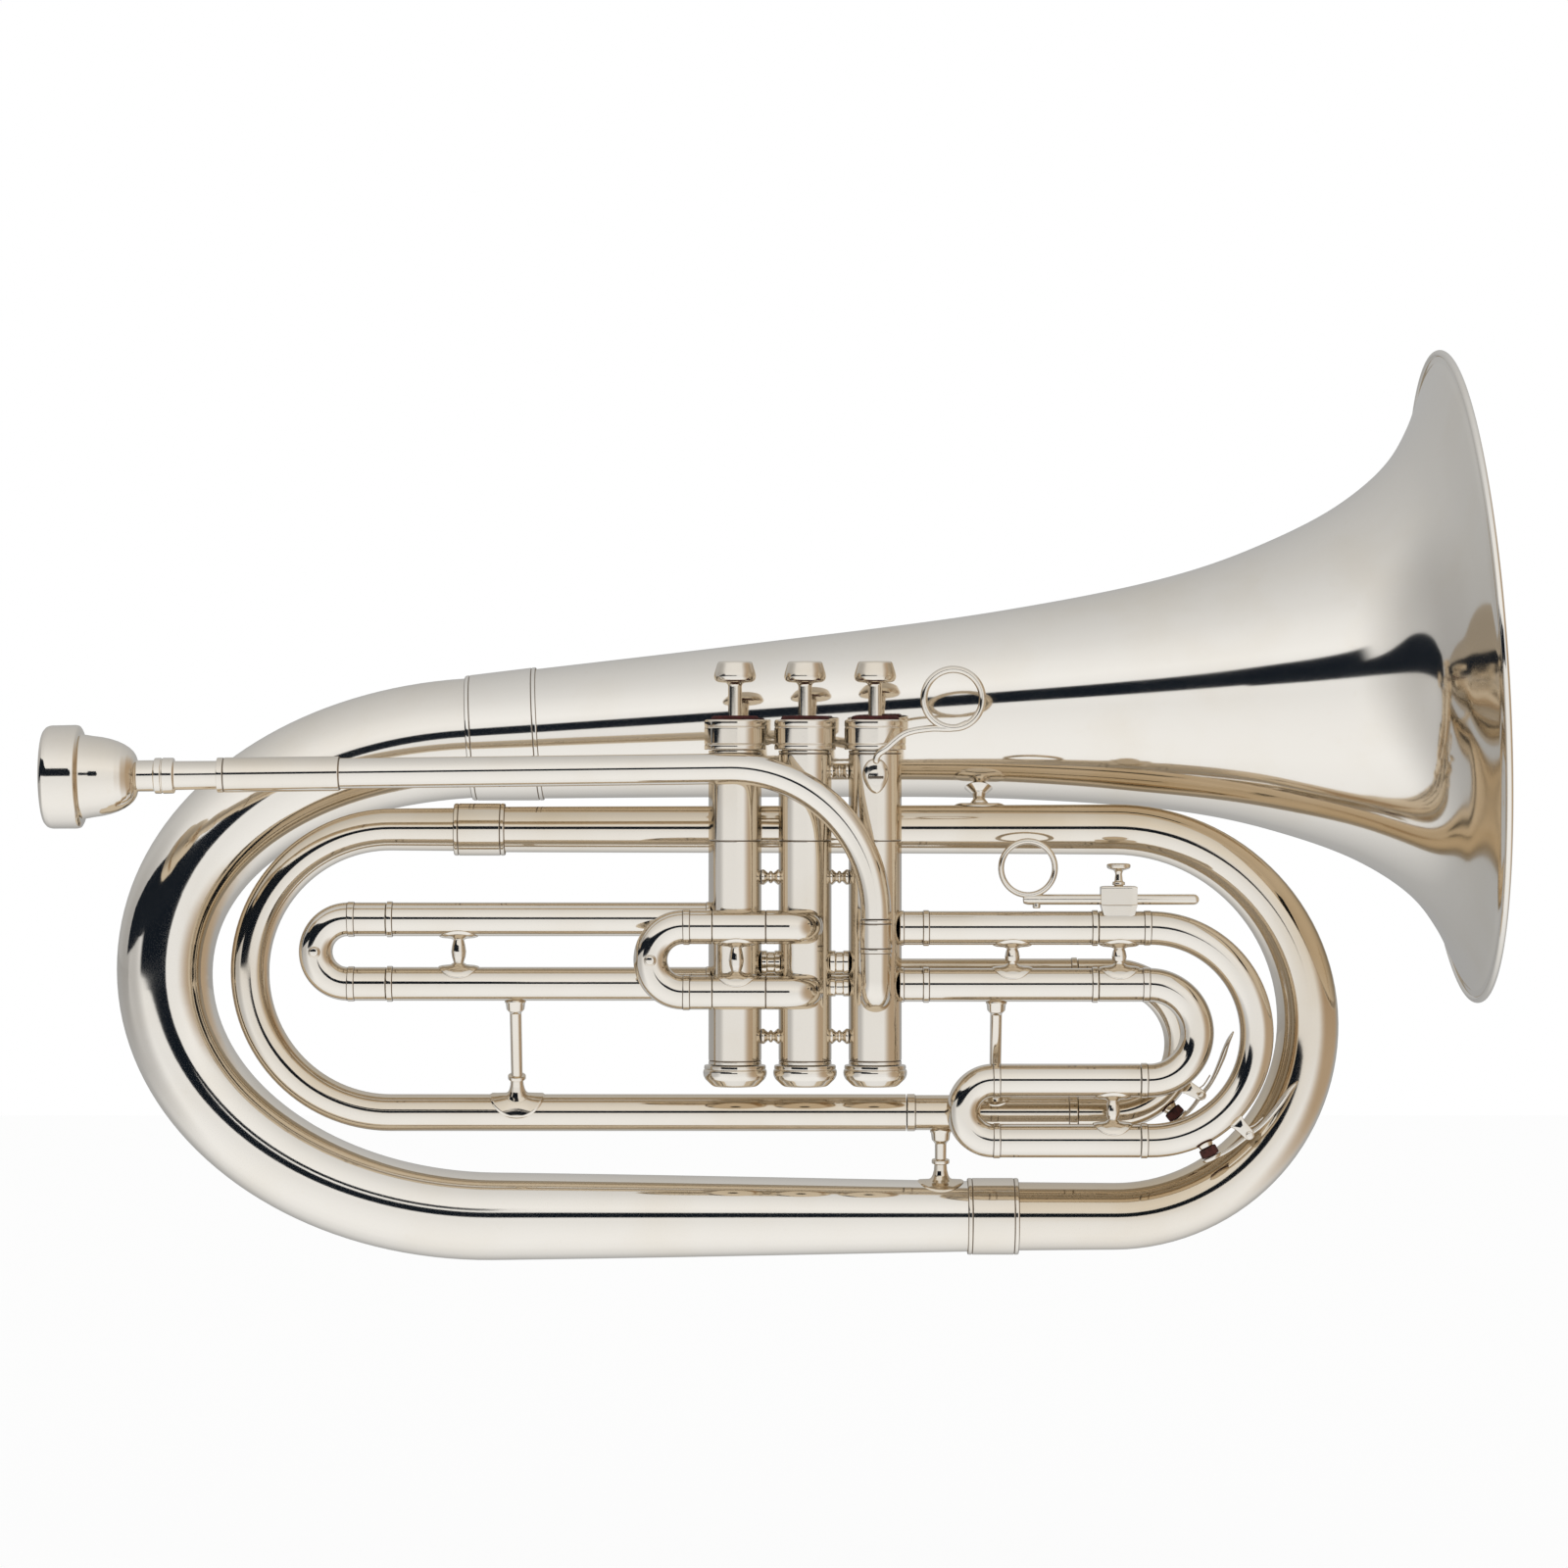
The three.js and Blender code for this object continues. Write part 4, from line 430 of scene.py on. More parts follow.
def turned(base, axis, outline, sides=48, bite=0.3, closed=False):
    """A turned piece: (height, radius) pairs carried round an axis from a base point. Heights may
    run below the base. An open outline starts and ends on the axis."""
    base, axis = np.asarray(base, float), unit(axis)
    loop = rounded(outline, bite, closed) if bite else rows(outline)
    reference = BACK if abs(axis[1]) < 0.9 else UP
    across = unit(reference - axis * (axis @ reference))
    grid = rings(base + loop[:, :1] * axis, loop[:, 1], across, np.cross(axis, across), sides)
    return weave(grid, closed, loop[:, 2])


def between(gap, head, foot):
    """A stay's outline: the head's rows, then the foot's, whose places count back from the gap."""
    return [*head, *((gap - place, radius) for place, radius in foot)]


def mirrored(outline):
    """An outline from its negative half: the same places and radii again on the positive side."""
    return [*outline, *((-place, radius) for place, radius in outline[::-1] if place)]


def collared(length, radius, places, width):
    """An even outline with a raised collar at each place, a seam at the foot of each side."""
    outline, top = [(0, radius)], radius + COLLAR_RISE
    for place in places:
        low, high = max(place - width / 2, 0), min(place + width / 2, length)
        outline = [*outline, (low - 0.4, radius), (low, radius, 1.0)] if low > 0 else []
        outline += [(low + 0.15, top), (high - 0.15, top)]
        if high < length:
            outline += [(high, radius, 1.0), (high + 0.4, radius)]
    if outline[-1][0] < length:
        outline.append((length, radius))
    return outline


def fitted(head, head_radius, foot, foot_radius, outline, squash=(1.0, 1.0), bite=0.25, fade=2.4):
    """A turned stay between two tubes, bent to lie on both. The outline's heights run from one
    skin to the other. Near a tube a ring's offset across it becomes an arc of the same length
    round the tube, whole within STAY_CONTACT of it and fading to a plain ring at the distance
    fade; squash narrows or widens it there."""
    head, foot = arrays(head, foot)
    down = unit(foot - head)
    gap = np.linalg.norm(foot - head) - head_radius - foot_radius
    along = unit(RIGHT - down * (RIGHT @ down))
    side = np.cross(down, along)
    loop = rounded(outline, bite)
    loop[:, 0] = np.clip(loop[:, 0], -0.4, gap + 0.4)
    angle = circle(STAY_SIDES)[None]
    height, radius = loop[:, :1], loop[:, 1:2]
    near_head, near_foot = (smooth_step(np.clip((fade - away) / (fade - STAY_CONTACT), 0, 1))
                            for away in (height, gap - height))
    narrow = 1 - (1 - squash[0]) * near_head - (1 - squash[1]) * near_foot
    sway = radius * np.sin(angle) * narrow

    def place(out, aside):
        """A way down the stay and aside of it."""
        return out[..., None] * down + aside[..., None] * side

    def bent(reach, tube_radius):
        """The ring's offset turned into an arc round a tube's axis."""
        return place(reach * np.cos(sway / tube_radius),
                     abs(reach) * np.sin(sway / tube_radius))

    plain = head + place(head_radius + height, sway)
    over_head = head + bent(head_radius + height, head_radius)
    over_foot = foot + bent(height - foot_radius - gap, foot_radius)
    near_head, near_foot = near_head[..., None], near_foot[..., None]
    grid = ((plain * (1 - near_head) + over_head * near_head) * (1 - near_foot)
            + over_foot * near_foot)
    return weave(grid + (radius * np.cos(angle))[..., None] * along, False, loop[:, 2])


def ring_wire(centre, radius, wire_radius, flat=1.0, steps=72, sides=20):
    """A torus that faces the front: a circle of the given radius whose wire is an ellipse, flat
    times as thick from front to back."""
    u, v = circle(steps)[:, None, None], circle(sides)[None, :, None]
    outward = np.cos(u) * RIGHT - np.sin(u) * UP
    return weave(np.asarray(centre) + outward * (radius + wire_radius * np.cos(v))
                 + BACK * wire_radius * flat * np.sin(v), True)


def wire(points, radius, sides):
    """A closed round wire through points, its ends domed by the cosine of a quarter turn."""
    points = np.asarray(points, float)
    track = Track(through(points) if len(points) > 2 else points)
    dome = np.linspace(0, np.pi / 2, 5)
    low = np.stack([radius * (1 - np.cos(dome)), radius * np.sin(dome)], -1)
    high = np.stack([track.length - low[::-1, 0], low[::-1, 1]], -1)
    direction = unit(points[-1] - points[0])
    reference = BACK if abs(direction[1]) < 0.8 else UP
    return carried(track, follow(track, np.vstack([low, high])), sides, reference, closed=False)


def slotted_head(base, radius, height, half=0.36, depth=0.55, sides=64):
    """A screw head that faces the front: a dome that falls by 0.35 of its height times the squared
    share of the radius, less a slot of the given half width and depth across the middle."""
    edge = 0.12
    share = np.concatenate([[0, 1, 1], np.linspace(0.97, 0, 22)])[:, None]
    angle = circle(sides)[None]
    u, v = radius * share * np.cos(angle), radius * share * np.sin(angle)
    slot = np.clip((half + edge - np.abs(u)) / edge, 0, 1)
    lift = height * (1 - 0.35 * share ** 2) - depth * slot
    lift[:2] = 0
    grid = np.asarray(base) - lift[..., None] * BACK + u[..., None] * UP - v[..., None] * RIGHT
    points, faces, _ = weave(grid, False)
    return points, faces, np.where(lift > 0, slot, 0).ravel()


def point_values(mesh, name, values):
    """One number for each point of a mesh, kept under a name."""
    layer = mesh.attributes.new(name, "FLOAT", "POINT")
    layer.data.foreach_set("value", values.astype(np.float32))


def dress(name, parts, body, nodes, finish, painted_reflection=0.0):
    """One piece from its surfaces: joined arrays, quads drawn together at a pole as triangles,
    millimetres to metres, smooth but for sharp edges. Its last argument is the share of a painted
    warm reflection that is written for each point: a little everywhere, most of it where the
    surface looks up, and less where it looks back."""
    offsets = running([len(part[0]) for part in parts[:-1]]).astype(int)
    points = np.vstack([part[0] for part in parts])
    seams = np.concatenate([part[2] for part in parts])
    faces = np.vstack([part[1] + offset for part, offset in zip(parts, offsets)])
    used, flat = np.unique(faces, return_inverse=True)
    points, seams, faces = points[used], seams[used], flat.reshape(faces.shape)
    pinched = faces == np.roll(faces, -1, 1)
    whole, first = ~pinched.any(1), pinched.argmax(1)
    quads = faces[whole]
    triangles = np.vstack([np.delete(faces[~whole & (first == k)], k, 1) for k in range(4)])
    corners = np.concatenate([quads.ravel(), triangles.ravel()])
    starts = np.concatenate([np.arange(len(quads)) * 4,
                             quads.size + np.arange(len(triangles)) * 3])
    mesh = bpy.data.meshes.new(name)
    mesh.vertices.add(len(points))
    mesh.vertices.foreach_set("co", (points * MM).astype(np.float32).ravel())
    mesh.loops.add(len(corners))
    mesh.loops.foreach_set("vertex_index", corners.astype(np.int32))
    mesh.polygons.add(len(starts))
    mesh.polygons.foreach_set("loop_start", starts.astype(np.int32))
    mesh.update(calc_edges=True)
    mesh.validate()
    point_values(mesh, "seam", seams)
    normals = np.empty(len(points) * 3, np.float32)
    mesh.vertices.foreach_get("normal", normals)
    # Painted warm reflection: strongest on faces that look up, weaker on faces that look back
    looks_up = np.clip(normals[2::3] * 3.0 + 0.3, 0, 1)
    looks_back = np.clip(normals[1::3] * 2.5, 0, 1)
    point_values(mesh, "painted_reflection", painted_reflection * (1 - REFLECTION_LOST_FACING_BACK * looks_back)
                 * (REFLECTION_EVERYWHERE + (1 - REFLECTION_EVERYWHERE) * looks_up))
    mesh.polygons.foreach_set("use_smooth", np.ones(len(mesh.polygons), bool))
    mesh.set_sharp_from_angle(angle=math.radians(SHARP_ANGLE))
    piece = bpy.data.objects.new(name, mesh)
    bpy.context.scene.collection.objects.link(piece)
    mesh.materials.append(finish)
    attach(piece, body)
    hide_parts(*nodes)


# Finishes

class Value:
    """A node socket that takes part in Python sums: each operator adds one Math node."""

    def __init__(self, sheet, socket):
        self.sheet, self.socket = sheet, socket

    def math(self, operation, *others, clamp=False):
        """What a Math node makes of this value and the others."""
        return self.sheet.node("ShaderNodeMath", {"operation": operation, "use_clamp": clamp},
                               self, *others)

    def __add__(self, other):
        return self.math("ADD", other)

    def __mul__(self, other):
        return self.math("MULTIPLY", other)

    def __sub__(self, other):
        return self.math("SUBTRACT", other)

    def __rsub__(self, other):
        return self.sheet.node("ShaderNodeMath", {"operation": "SUBTRACT"}, other, self)

    def __truediv__(self, other):
        return self.math("DIVIDE", other)

    def __neg__(self):
        return self * -1

    def clamp(self):
        """The value held between 0 and 1."""
        return self.math("ADD", 0.0, clamp=True)

    def step(self, low, high):
        """0 at low, 1 at high, smooth between."""
        return self.sheet.node("ShaderNodeMapRange", {"interpolation_type": "SMOOTHSTEP"},
                               self, low, high, 0.0, 1.0)


class Sheet:
    """A node tree of a material or a world, filled by one method."""

    def __init__(self, owner):
        owner.use_nodes = True
        self.tree = owner.node_tree
        self.tree.nodes.clear()

    def node(self, kind, settings=None, *values, output=0, **named):
        """Adds a node, sets its settings, then the values or links of its inputs in order or by
        name, and gives one output back as a value. The setting stops is a ramp's greys by place."""
        made = self.tree.nodes.new(kind)
        for key, setting in (settings or {}).items():
            if key == "stops":
                ramp = made.color_ramp
                while len(ramp.elements) > 1:
                    ramp.elements.remove(ramp.elements[-1])
                for i, (place, grey) in enumerate(setting):
                    stop = ramp.elements[0] if i == 0 else ramp.elements.new(place)
                    stop.position, stop.color = place, (*grey, 1)
            else:
                setattr(made, key, setting)
        for key, value in [*enumerate(values), *named.items()]:
            if isinstance(key, str):
                key = key.replace("_", " ")
            if value is None:
                continue
            if isinstance(value, Value):
                self.tree.links.new(value.socket, made.inputs[key])
            else:
                made.inputs[key].default_value = value
        return Value(self, made.outputs[output])

    def mix(self, share, first, second, blend="MIX"):
        """A colour between two."""
        return self.node("ShaderNodeMix", {"data_type": "RGBA", "blend_type": blend}, share,
                         *[None] * 5, first, second, output=2)

    def ray(self, name):
        """What is known of the ray that asks, such as whether the camera sent it."""
        path = self.node("ShaderNodeLightPath")
        return Value(self, path.socket.node.outputs[name])

    def noise(self, scale, detail=3.0, stretch=(1, 1, 1)):
        """Noise on object coordinates, stretched by a factor along each axis."""
        place = self.node("ShaderNodeTexCoord", None, output=3)
        moved = self.node("ShaderNodeMapping", None, place, Scale=stretch)
        return self.node("ShaderNodeTexNoise", None, moved, Scale=scale, Detail=detail, output=0)

    def close(self, shader, kind="ShaderNodeOutputMaterial"):
        """Links a shader to the tree's output."""
        end = self.tree.nodes.new(kind)
        self.tree.links.new(shader.socket, end.inputs[0])


def colour(value):
    """Red, green and blue with full alpha."""
    return (*value[:3], 1.0)


def plated_metal(name, bright, stain, amount, roughness, grain=0.012):
    """Plated metal: a bright colour with soft cloudy stains, a polish that varies a little, and a
    bump of fine hairlines left by the buffing wheel."""
    made = bpy.data.materials.new(name)
    sheet = Sheet(made)
    cloud = sheet.noise(26.0, 4.0).step(0.42, 0.78)
    freckle = sheet.noise(310.0, 2.0).step(0.62, 0.8)
    mask = (cloud * 0.7 + freckle * 0.3) * amount
    seam = sheet.node("ShaderNodeAttribute", {"attribute_name": "seam"}, output=2)
    solder = seam.step(0.15, 0.8) * (sheet.noise(75.0, 2.0) * 0.5 + 0.6).clamp()
    # Painted warm reflection: each point's share of it mixes the warm reflection colour into the
    # base colour
    reflection_share = sheet.node("ShaderNodeAttribute", {"attribute_name": "painted_reflection"}, output=2)
    warm = (reflection_share * (cloud * 0.25 + 0.85)).clamp()
    base = sheet.mix(mask, colour(bright), colour(stain))
    base = sheet.mix(warm, base, WARM_REFLECTION_COLOUR)
    base = sheet.mix(solder, base, SOLDER_COLOUR)
    rough = sheet.noise(60.0, 3.0) * 0.05 + (roughness - 0.025) + solder * 0.3
    hair = sheet.noise(900.0, 2.0, (0.15, 1.0, 1.0))
    wave = sheet.noise(38.0, 1.0)
    bump = sheet.node("ShaderNodeBump", None, Strength=grain, Distance=0.001,
                      Height=hair * 0.05 + wave * 0.95)
    sheet.close(sheet.node("ShaderNodeBsdfPrincipled", None, Base_Color=base, Metallic=1.0,
                           Roughness=rough, Normal=bump))
    return made


def soft_material(name, tone, shade, scale, depth):
    """Felt or cork: two tones mixed by noise, and a bump from finer noise."""
    made = bpy.data.materials.new(name)
    sheet = Sheet(made)
    mottle = sheet.noise(scale, 5.0).step(0.35, 0.68)
    base = sheet.mix(mottle, colour(tone), colour(shade))
    bump = sheet.node("ShaderNodeBump", None, Strength=depth, Distance=0.0004,
                      Height=sheet.noise(scale * 3.0, 4.0))
    sheet.close(sheet.node("ShaderNodeBsdfPrincipled", None, Base_Color=base, Roughness=0.93,
                           Normal=bump))
    return made


finishes = {}


# Settings

def colour_setting(name, what, default):
    """A colour setting."""
    return bpy.props.FloatVectorProperty(name=name, description=f"Colour of {what}", size=3,
                                         subtype="COLOR", min=0, max=1, default=default)


def share_setting(name, description, default):
    """A setting from 0 to 1."""
    return bpy.props.FloatProperty(name=name, description=description, subtype="FACTOR",
                                   min=0, max=1, default=default)


def length_setting(name, description, least, most, default):
    """A length setting in metres."""
    return bpy.props.FloatProperty(name=name, description=description, unit="LENGTH",
                                   min=least, max=most, default=default)


class EUPH_PG_finish(bpy.types.PropertyGroup):
    """Colours and polish of the instrument."""
    silver: colour_setting("Silver", "the polished silver plate", (0.93, 0.905, 0.86))
    tarnish: colour_setting("Tarnish", "what old polish leaves on the plate", (0.80, 0.71, 0.56))
    tarnish_amount: share_setting("Tarnish Amount", "How much of the tarnish shows", 0.28)
    roughness: share_setting("Polish", "Roughness of the polished plate", 0.075)
    felt: colour_setting("Felt", "the felt washers", (0.075, 0.010, 0.009))
    cork: colour_setting("Cork", "the water key corks", (0.085, 0.022, 0.016))


class EUPH_PG_sizes(bpy.types.PropertyGroup):
    """Sizes of the trim that a maker might change."""
    collar_width: length_setting("Collar Width", "Length of the collars on the slide receivers",
                                 0.001, 0.006, 0.0024)
    key_spring: length_setting("Key Spring Wire", "Thickness of the water key springs",
                               0.0003, 0.001, 0.0006)
    tube_sides: bpy.props.IntProperty(
        name="Tube Sides", description="Facets round each small tube", min=16, max=96, default=44)
    camera_distance: length_setting("Camera Distance", "From the lens to the valves",
                                    0.5, 5, 1.859)


def sizes():
    """The sizes as they are set in the scene."""
    return bpy.context.scene.euphonium_sizes


def piece_finishes():
    """Makes the finishes once and keeps them by name."""
    if finishes:
        return finishes
    look = bpy.context.scene.euphonium_finish
    silver, tarnish = tuple(look.silver), tuple(look.tarnish)
    finishes["silver"] = plated_metal("Polished silver plate", silver, tarnish,
                                      look.tarnish_amount, look.roughness)
    finishes["trim"] = plated_metal("Turned silver trim", tuple(0.96 * c for c in silver),
                                    tarnish, min(look.tarnish_amount * 1.8, 1.0),
                                    look.roughness + 0.04, 0.03)
    finishes["steel"] = plated_metal("Hidden valve steel", STEEL_BRIGHT, STEEL_STAIN, 0.4, 0.25,
                                     0.03)
    finishes["felt"] = soft_material("Pressed red felt", tuple(look.felt),
                                     tuple(0.45 * c for c in look.felt), 900.0, 0.6)
    finishes["cork"] = soft_material("Stained cork", tuple(look.cork),
                                     tuple(0.4 * c for c in look.cork), 420.0, 0.7)
    return finishes


class PieceOperator:
    """What the operators of the pieces share."""
    bl_options = {"REGISTER", "UNDO"}

    def silver(self, name, parts, body="root", node=None, look="silver", painted_reflection=0.4):
        """Dresses a plated piece. Its node has the piece's name where none is given."""
        nodes = node if isinstance(node, list) else [node or name]
        # The last argument is the piece's share of painted warm reflection
        dress(f"fine_{name}", parts, body, nodes, piece_finishes()[look], painted_reflection)


# Stage

def studio_world():
    """White to the camera. For reflections, a studio by direction: its brightness depends on the
    angle over the top from front to back, with darker sides, the right one brown. In front, from a
    little right of the camera to 50 degrees left of it, a black strip hangs from 1.6 to 15 degrees
    above the horizon. What a second reflection shows is tinted warm."""
    world = bpy.data.worlds.new("Studio")
    bpy.context.scene.world = world
    sheet = Sheet(world)
    direction = sheet.node("ShaderNodeTexCoord", None, output=0)
    split = sheet.node("ShaderNodeSeparateXYZ", None, direction)
    x, y, z = (Value(sheet, split.socket.node.outputs[k]) for k in range(3))
    degrees = 180 / math.pi
    rise = z.math("ARCSINE") * degrees
    azimuth = x.math("ARCTAN2", -y) * degrees
    over = z.math("ARCTAN2", -y) / (2 * math.pi) + 0.5
    room = sheet.node("ShaderNodeValToRGB", {"stops": [
        (0.5 + turn / 360, [grey * part for part in ROOM_TINT]) for turn, grey in ROOM_GREYS]},
        over)
    room = sheet.mix((-x).step(0.72, 0.97) * 0.7, room, LEFT_GREY)
    room = sheet.mix(x.step(0.55, 0.95), room, RIGHT_BROWN)
    aside = -azimuth
    strip = ((rise - 1.6).step(-0.5, 0.5) * (15.0 - rise).step(-0.5, 0.7)
             * aside.step(-11.0, -8.0) * (1 - aside.step(50.0, 58.0)))
    room = sheet.mix(strip, room, BLACK_CLOTH)
    again = (sheet.ray("Glossy Depth") - 1.0).clamp()
    warmed = sheet.mix(again, room, SECOND_TINT, "MULTIPLY")
    room = sheet.mix(again, room, warmed)
    even = sheet.mix(sheet.ray("Is Glossy Ray"), DIFFUSE_LIGHT, room)
    shown = sheet.mix(sheet.ray("Is Camera Ray"), even, WHITE)
    sheet.close(sheet.node("ShaderNodeBackground", None, shown, 1.0), "ShaderNodeOutputWorld")


def staged(name, corners, faces, material):
    """Something of the studio: a mesh of its own and a bare material, given back with its sheet."""
    mesh = bpy.data.meshes.new(name)
    mesh.from_pydata(corners, [], faces)
    thing = bpy.data.objects.new(name, mesh)
    bpy.context.scene.collection.objects.link(thing)
    made = bpy.data.materials.new(material)
    mesh.materials.append(made)
    return thing, Sheet(made)


def pale_floor():
    """A plain pale floor, well below the instrument. To the camera it is nine tenths white light,
    so that it keeps a faint shadow."""
    floor, sheet = staged("studio_floor", [(x * FLOOR_HALF, y * FLOOR_HALF, FLOOR_Z) for x, y in (
        (-1, -1), (1, -1), (1, 1), (-1, 1))], [(0, 1, 2, 3)], "Pale paper")
    tone = sheet.mix(sheet.noise(4.0, 2.0), (0.90, 0.90, 0.89, 1), (0.87, 0.87, 0.86, 1))
    paper = sheet.node("ShaderNodeBsdfDiffuse", None, tone, 0.6)
    white = sheet.node("ShaderNodeEmission", None, WHITE, 1.0)
    seen = sheet.ray("Is Camera Ray") * 0.9
    sheet.close(sheet.node("ShaderNodeMixShader", None, seen, paper, white))
    floor.visible_glossy = False


def dark_flag():
    """A black cloth strip hung out of the picture to the left of the camera, only for the
    reflections: its foot and top edges run through five posts of (x, y, foot, top) in metres."""
    posts = [(-0.15, -0.62, 0.092, 0.16), (-0.42, -0.45, 0.088, 0.215), (-0.58, -0.26, 0.070, 0.29),
             (-0.68, -0.06, 0.030, 0.23), (-0.705, 0.08, 0.005, 0.12)]
    count = 40
    edges = through(posts, count)
    index = np.arange(count - 1)
    flag, sheet = staged("dark_flag", np.vstack([edges[:, :3], edges[:, [0, 1, 3]]]).tolist(),
                         np.stack([index, index + 1, index + count + 1, index + count],
                                  -1).tolist(), "Black cloth")
    tone = sheet.mix(sheet.noise(50.0, 2.0), BLACK_CLOTH, (0.010, 0.013, 0.018, 1))
    sheet.close(sheet.node("ShaderNodeEmission", None, tone, 1.0))
    flag.visible_camera = flag.visible_diffuse = flag.visible_shadow = False


class EUPH_OT_stage(bpy.types.Operator):
    """Set up the camera, the white studio, the pale floor and the black flag"""
    bl_idname = "euphonium.stage"
    bl_label = "Stage"
    bl_options = {"REGISTER", "UNDO"}

    def execute(self, context):
        scene = context.scene
        camera = bpy.data.cameras.new("camera")
        camera.sensor_width = SENSOR_WIDTH
        camera.lens = LENS_LENGTH
        camera.clip_start = 0.05
        camera.dof.use_dof = False
        eye = bpy.data.objects.new("camera", camera)
        eye.location = (EYE_X, -sizes().camera_distance, EYE_Z)
        eye.rotation_euler = (math.radians(90), 0, 0)
        scene.collection.objects.link(eye)
        scene.camera = eye
        scene.view_settings.view_transform = "Standard"
        studio_world()
        pale_floor()
        dark_flag()
        return {"FINISHED"}


# Valves

# Between the casings: the crossing passages by height and radius, the stays by height
CROSSINGS = ((-24, 4.3), (-34, 3.2))
CASING_STAYS = (52.5, 10.2, -53.6)


def casing_parts(key):
    """The barrel with its fine groove and end beads, as a hollow turned tube; the middle one has
    the crossing passages and the turned stays."""
    r, inner = CASING_RADIUS, CASING_RADIUS - 1.0
    outer = [(CASING_BOTTOM, r), *groove(CASING_BOTTOM + 1.5, r), *groove(24.8, r),
             *groove(CASING_TOP - 1.3, r), (CASING_TOP, r)]
    parts = [turned((VALVE_X[key], 0, 0), UP, outer + [(CASING_TOP, inner), (CASING_BOTTOM, inner)],
                    64, 0.2, True)]
    if key != "two":
        return parts
    for side in (-1, 1):
        start, end = side * (r - 0.6), side * (VALVE_X["three"] - r - 0.05)
        middle, half = (start + end) / 2, abs(end - start) / 2
        for z, radius in CROSSINGS:
            outline = mirrored([(-half, 0), (-half, radius + 0.5), (-half + 2.0, radius + 0.5),
                                (-half + 2.4, radius)])
            parts.append(turned((middle, 0, z), RIGHT, outline, 40, 0.3))
        for z in CASING_STAYS:
            outline = mirrored([(-half, 0), (-half, 3.1), (-half + 1.0, 3.1), (-half + 1.7, 2.5),
                                (-1.0, 1.6), (-0.6, 2.3), (0, 2.6)])
            parts.append(turned((middle, 0, z), RIGHT, outline, 40, 0.35))
    return parts


class EUPH_OT_valves(PieceOperator, bpy.types.Operator):
    """Make the valve casings, caps, felts and finger buttons"""
    bl_idname = "euphonium.valves"
    bl_label = "Valves"

    def execute(self, context):
        looks = piece_finishes()
        hole = STEM_RADIUS + 0.4
        cap = [(CAP_RECESS, hole), (CAP_RECESS, CAP_RADIUS - 2.3), (CAP_TOP, CAP_RADIUS - 1.9),
               (CAP_TOP, CAP_RADIUS - 0.5), (CAP_TOP - 0.6, CAP_RADIUS),
               (CAP_TOP - 2.6, CAP_RADIUS), (CAP_TOP - 2.9, CAP_RADIUS - 0.35),
               (CAP_TOP - 3.3, CAP_RADIUS), (CAP_BASE + 2.4, CAP_RADIUS),
               (CAP_BASE + 2.1, CAP_RADIUS - 0.35), (CAP_BASE + 1.7, CAP_RADIUS),
               (CAP_BASE, CAP_RADIUS), (CAP_BASE, 10.1), (CAP_RECESS - 1.6, 10.1),
               (CAP_RECESS - 1.6, hole)]
        seat = CAP_RECESS + JOIN_GAP
        felt = [(seat, hole), (seat, 9.7), (seat + 1.0, 9.75), (FELT_TOP - 0.7, 9.6),
                (FELT_TOP, 8.9), (FELT_TOP - 0.1, hole + 0.6), (FELT_TOP - 0.5, hole)]
        button = [(STEM_FOOT, 0), (STEM_FOOT, STEM_RADIUS), (STEM_TOP - 1.2, STEM_RADIUS),
                  (STEM_TOP - 0.3, STEM_RADIUS + 0.7), (STEM_TOP, 6.7), (STEM_TOP + 0.6, 7.9),
                  (STEM_TOP + 2.1, 8.45), (STEM_TOP + 3.6, 8.2), (STEM_TOP + 6.9, 7.2),
                  (BUTTON_TOP - 0.5, 6.9), (BUTTON_TOP, 6.3), (BUTTON_TOP, 5.8),
                  (BUTTON_TOP - 0.3, 5.6), (BUTTON_TOP - 0.05, 5.3), (BUTTON_TOP, 4.8),
                  (BUTTON_TOP, 0)]
        top, foot = FOOT_CAP_TOP, FOOT_CAP_TOP - 8.6
        bottom = [(foot, 2.0), (foot, 8.4), (foot + 0.5, 9.3), (foot + 3.0, 12.0),
                  (foot + 4.4, 12.65), (foot + 5.7, FOOT_CAP_RADIUS), (top - 1.9, 12.6),
                  (top - 1.6, 12.15), (top - 1.3, 12.4), (top - 0.2, 12.3), (top, 12.1),
                  (top, 9.6), (foot + 1.5, 7.7), (foot + 1.5, 2.0)]
        for key, x in VALVE_X.items():
            base, valve = (x, 0, 0), f"valve_{key}"
            self.silver(f"{key}_casing", casing_parts(key), node=f"{valve}_casing")
            self.silver(f"{key}_top_cap", [turned(base, UP, cap, 72, 0.35, True)],
                        node=f"{valve}_top_cap")
            dress(f"fine_{key}_felt", [turned(base, UP, felt, 72, 0.5, True)], "root",
                  [f"{valve}_felt"], looks["felt"])
            self.silver(f"{key}_finger_button", [turned(base, UP, button, 64, 0.5)],
                        f"{valve}_action", f"{valve}_finger_button", "trim")
            self.silver(f"{key}_bottom_cap", [turned(base, UP, bottom, 72, 0.45, True)],
                        node=f"{valve}_bottom_cap")
            for part in ("piston", "spring"):
                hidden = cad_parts[f"{valve}_{part}"]
                hidden.data.materials.clear()
                hidden.data.materials.append(looks["steel"])
        return {"FINISHED"}


# Mouthpiece, leadpipe and elbow

def lead_point(x):
    """The place on the leadpipe's line above x."""
    return np.array([x, LEAD_Y, LEAD_Z + (x - LEAD_BEND_X) * math.tan(LEAD_TILT)])


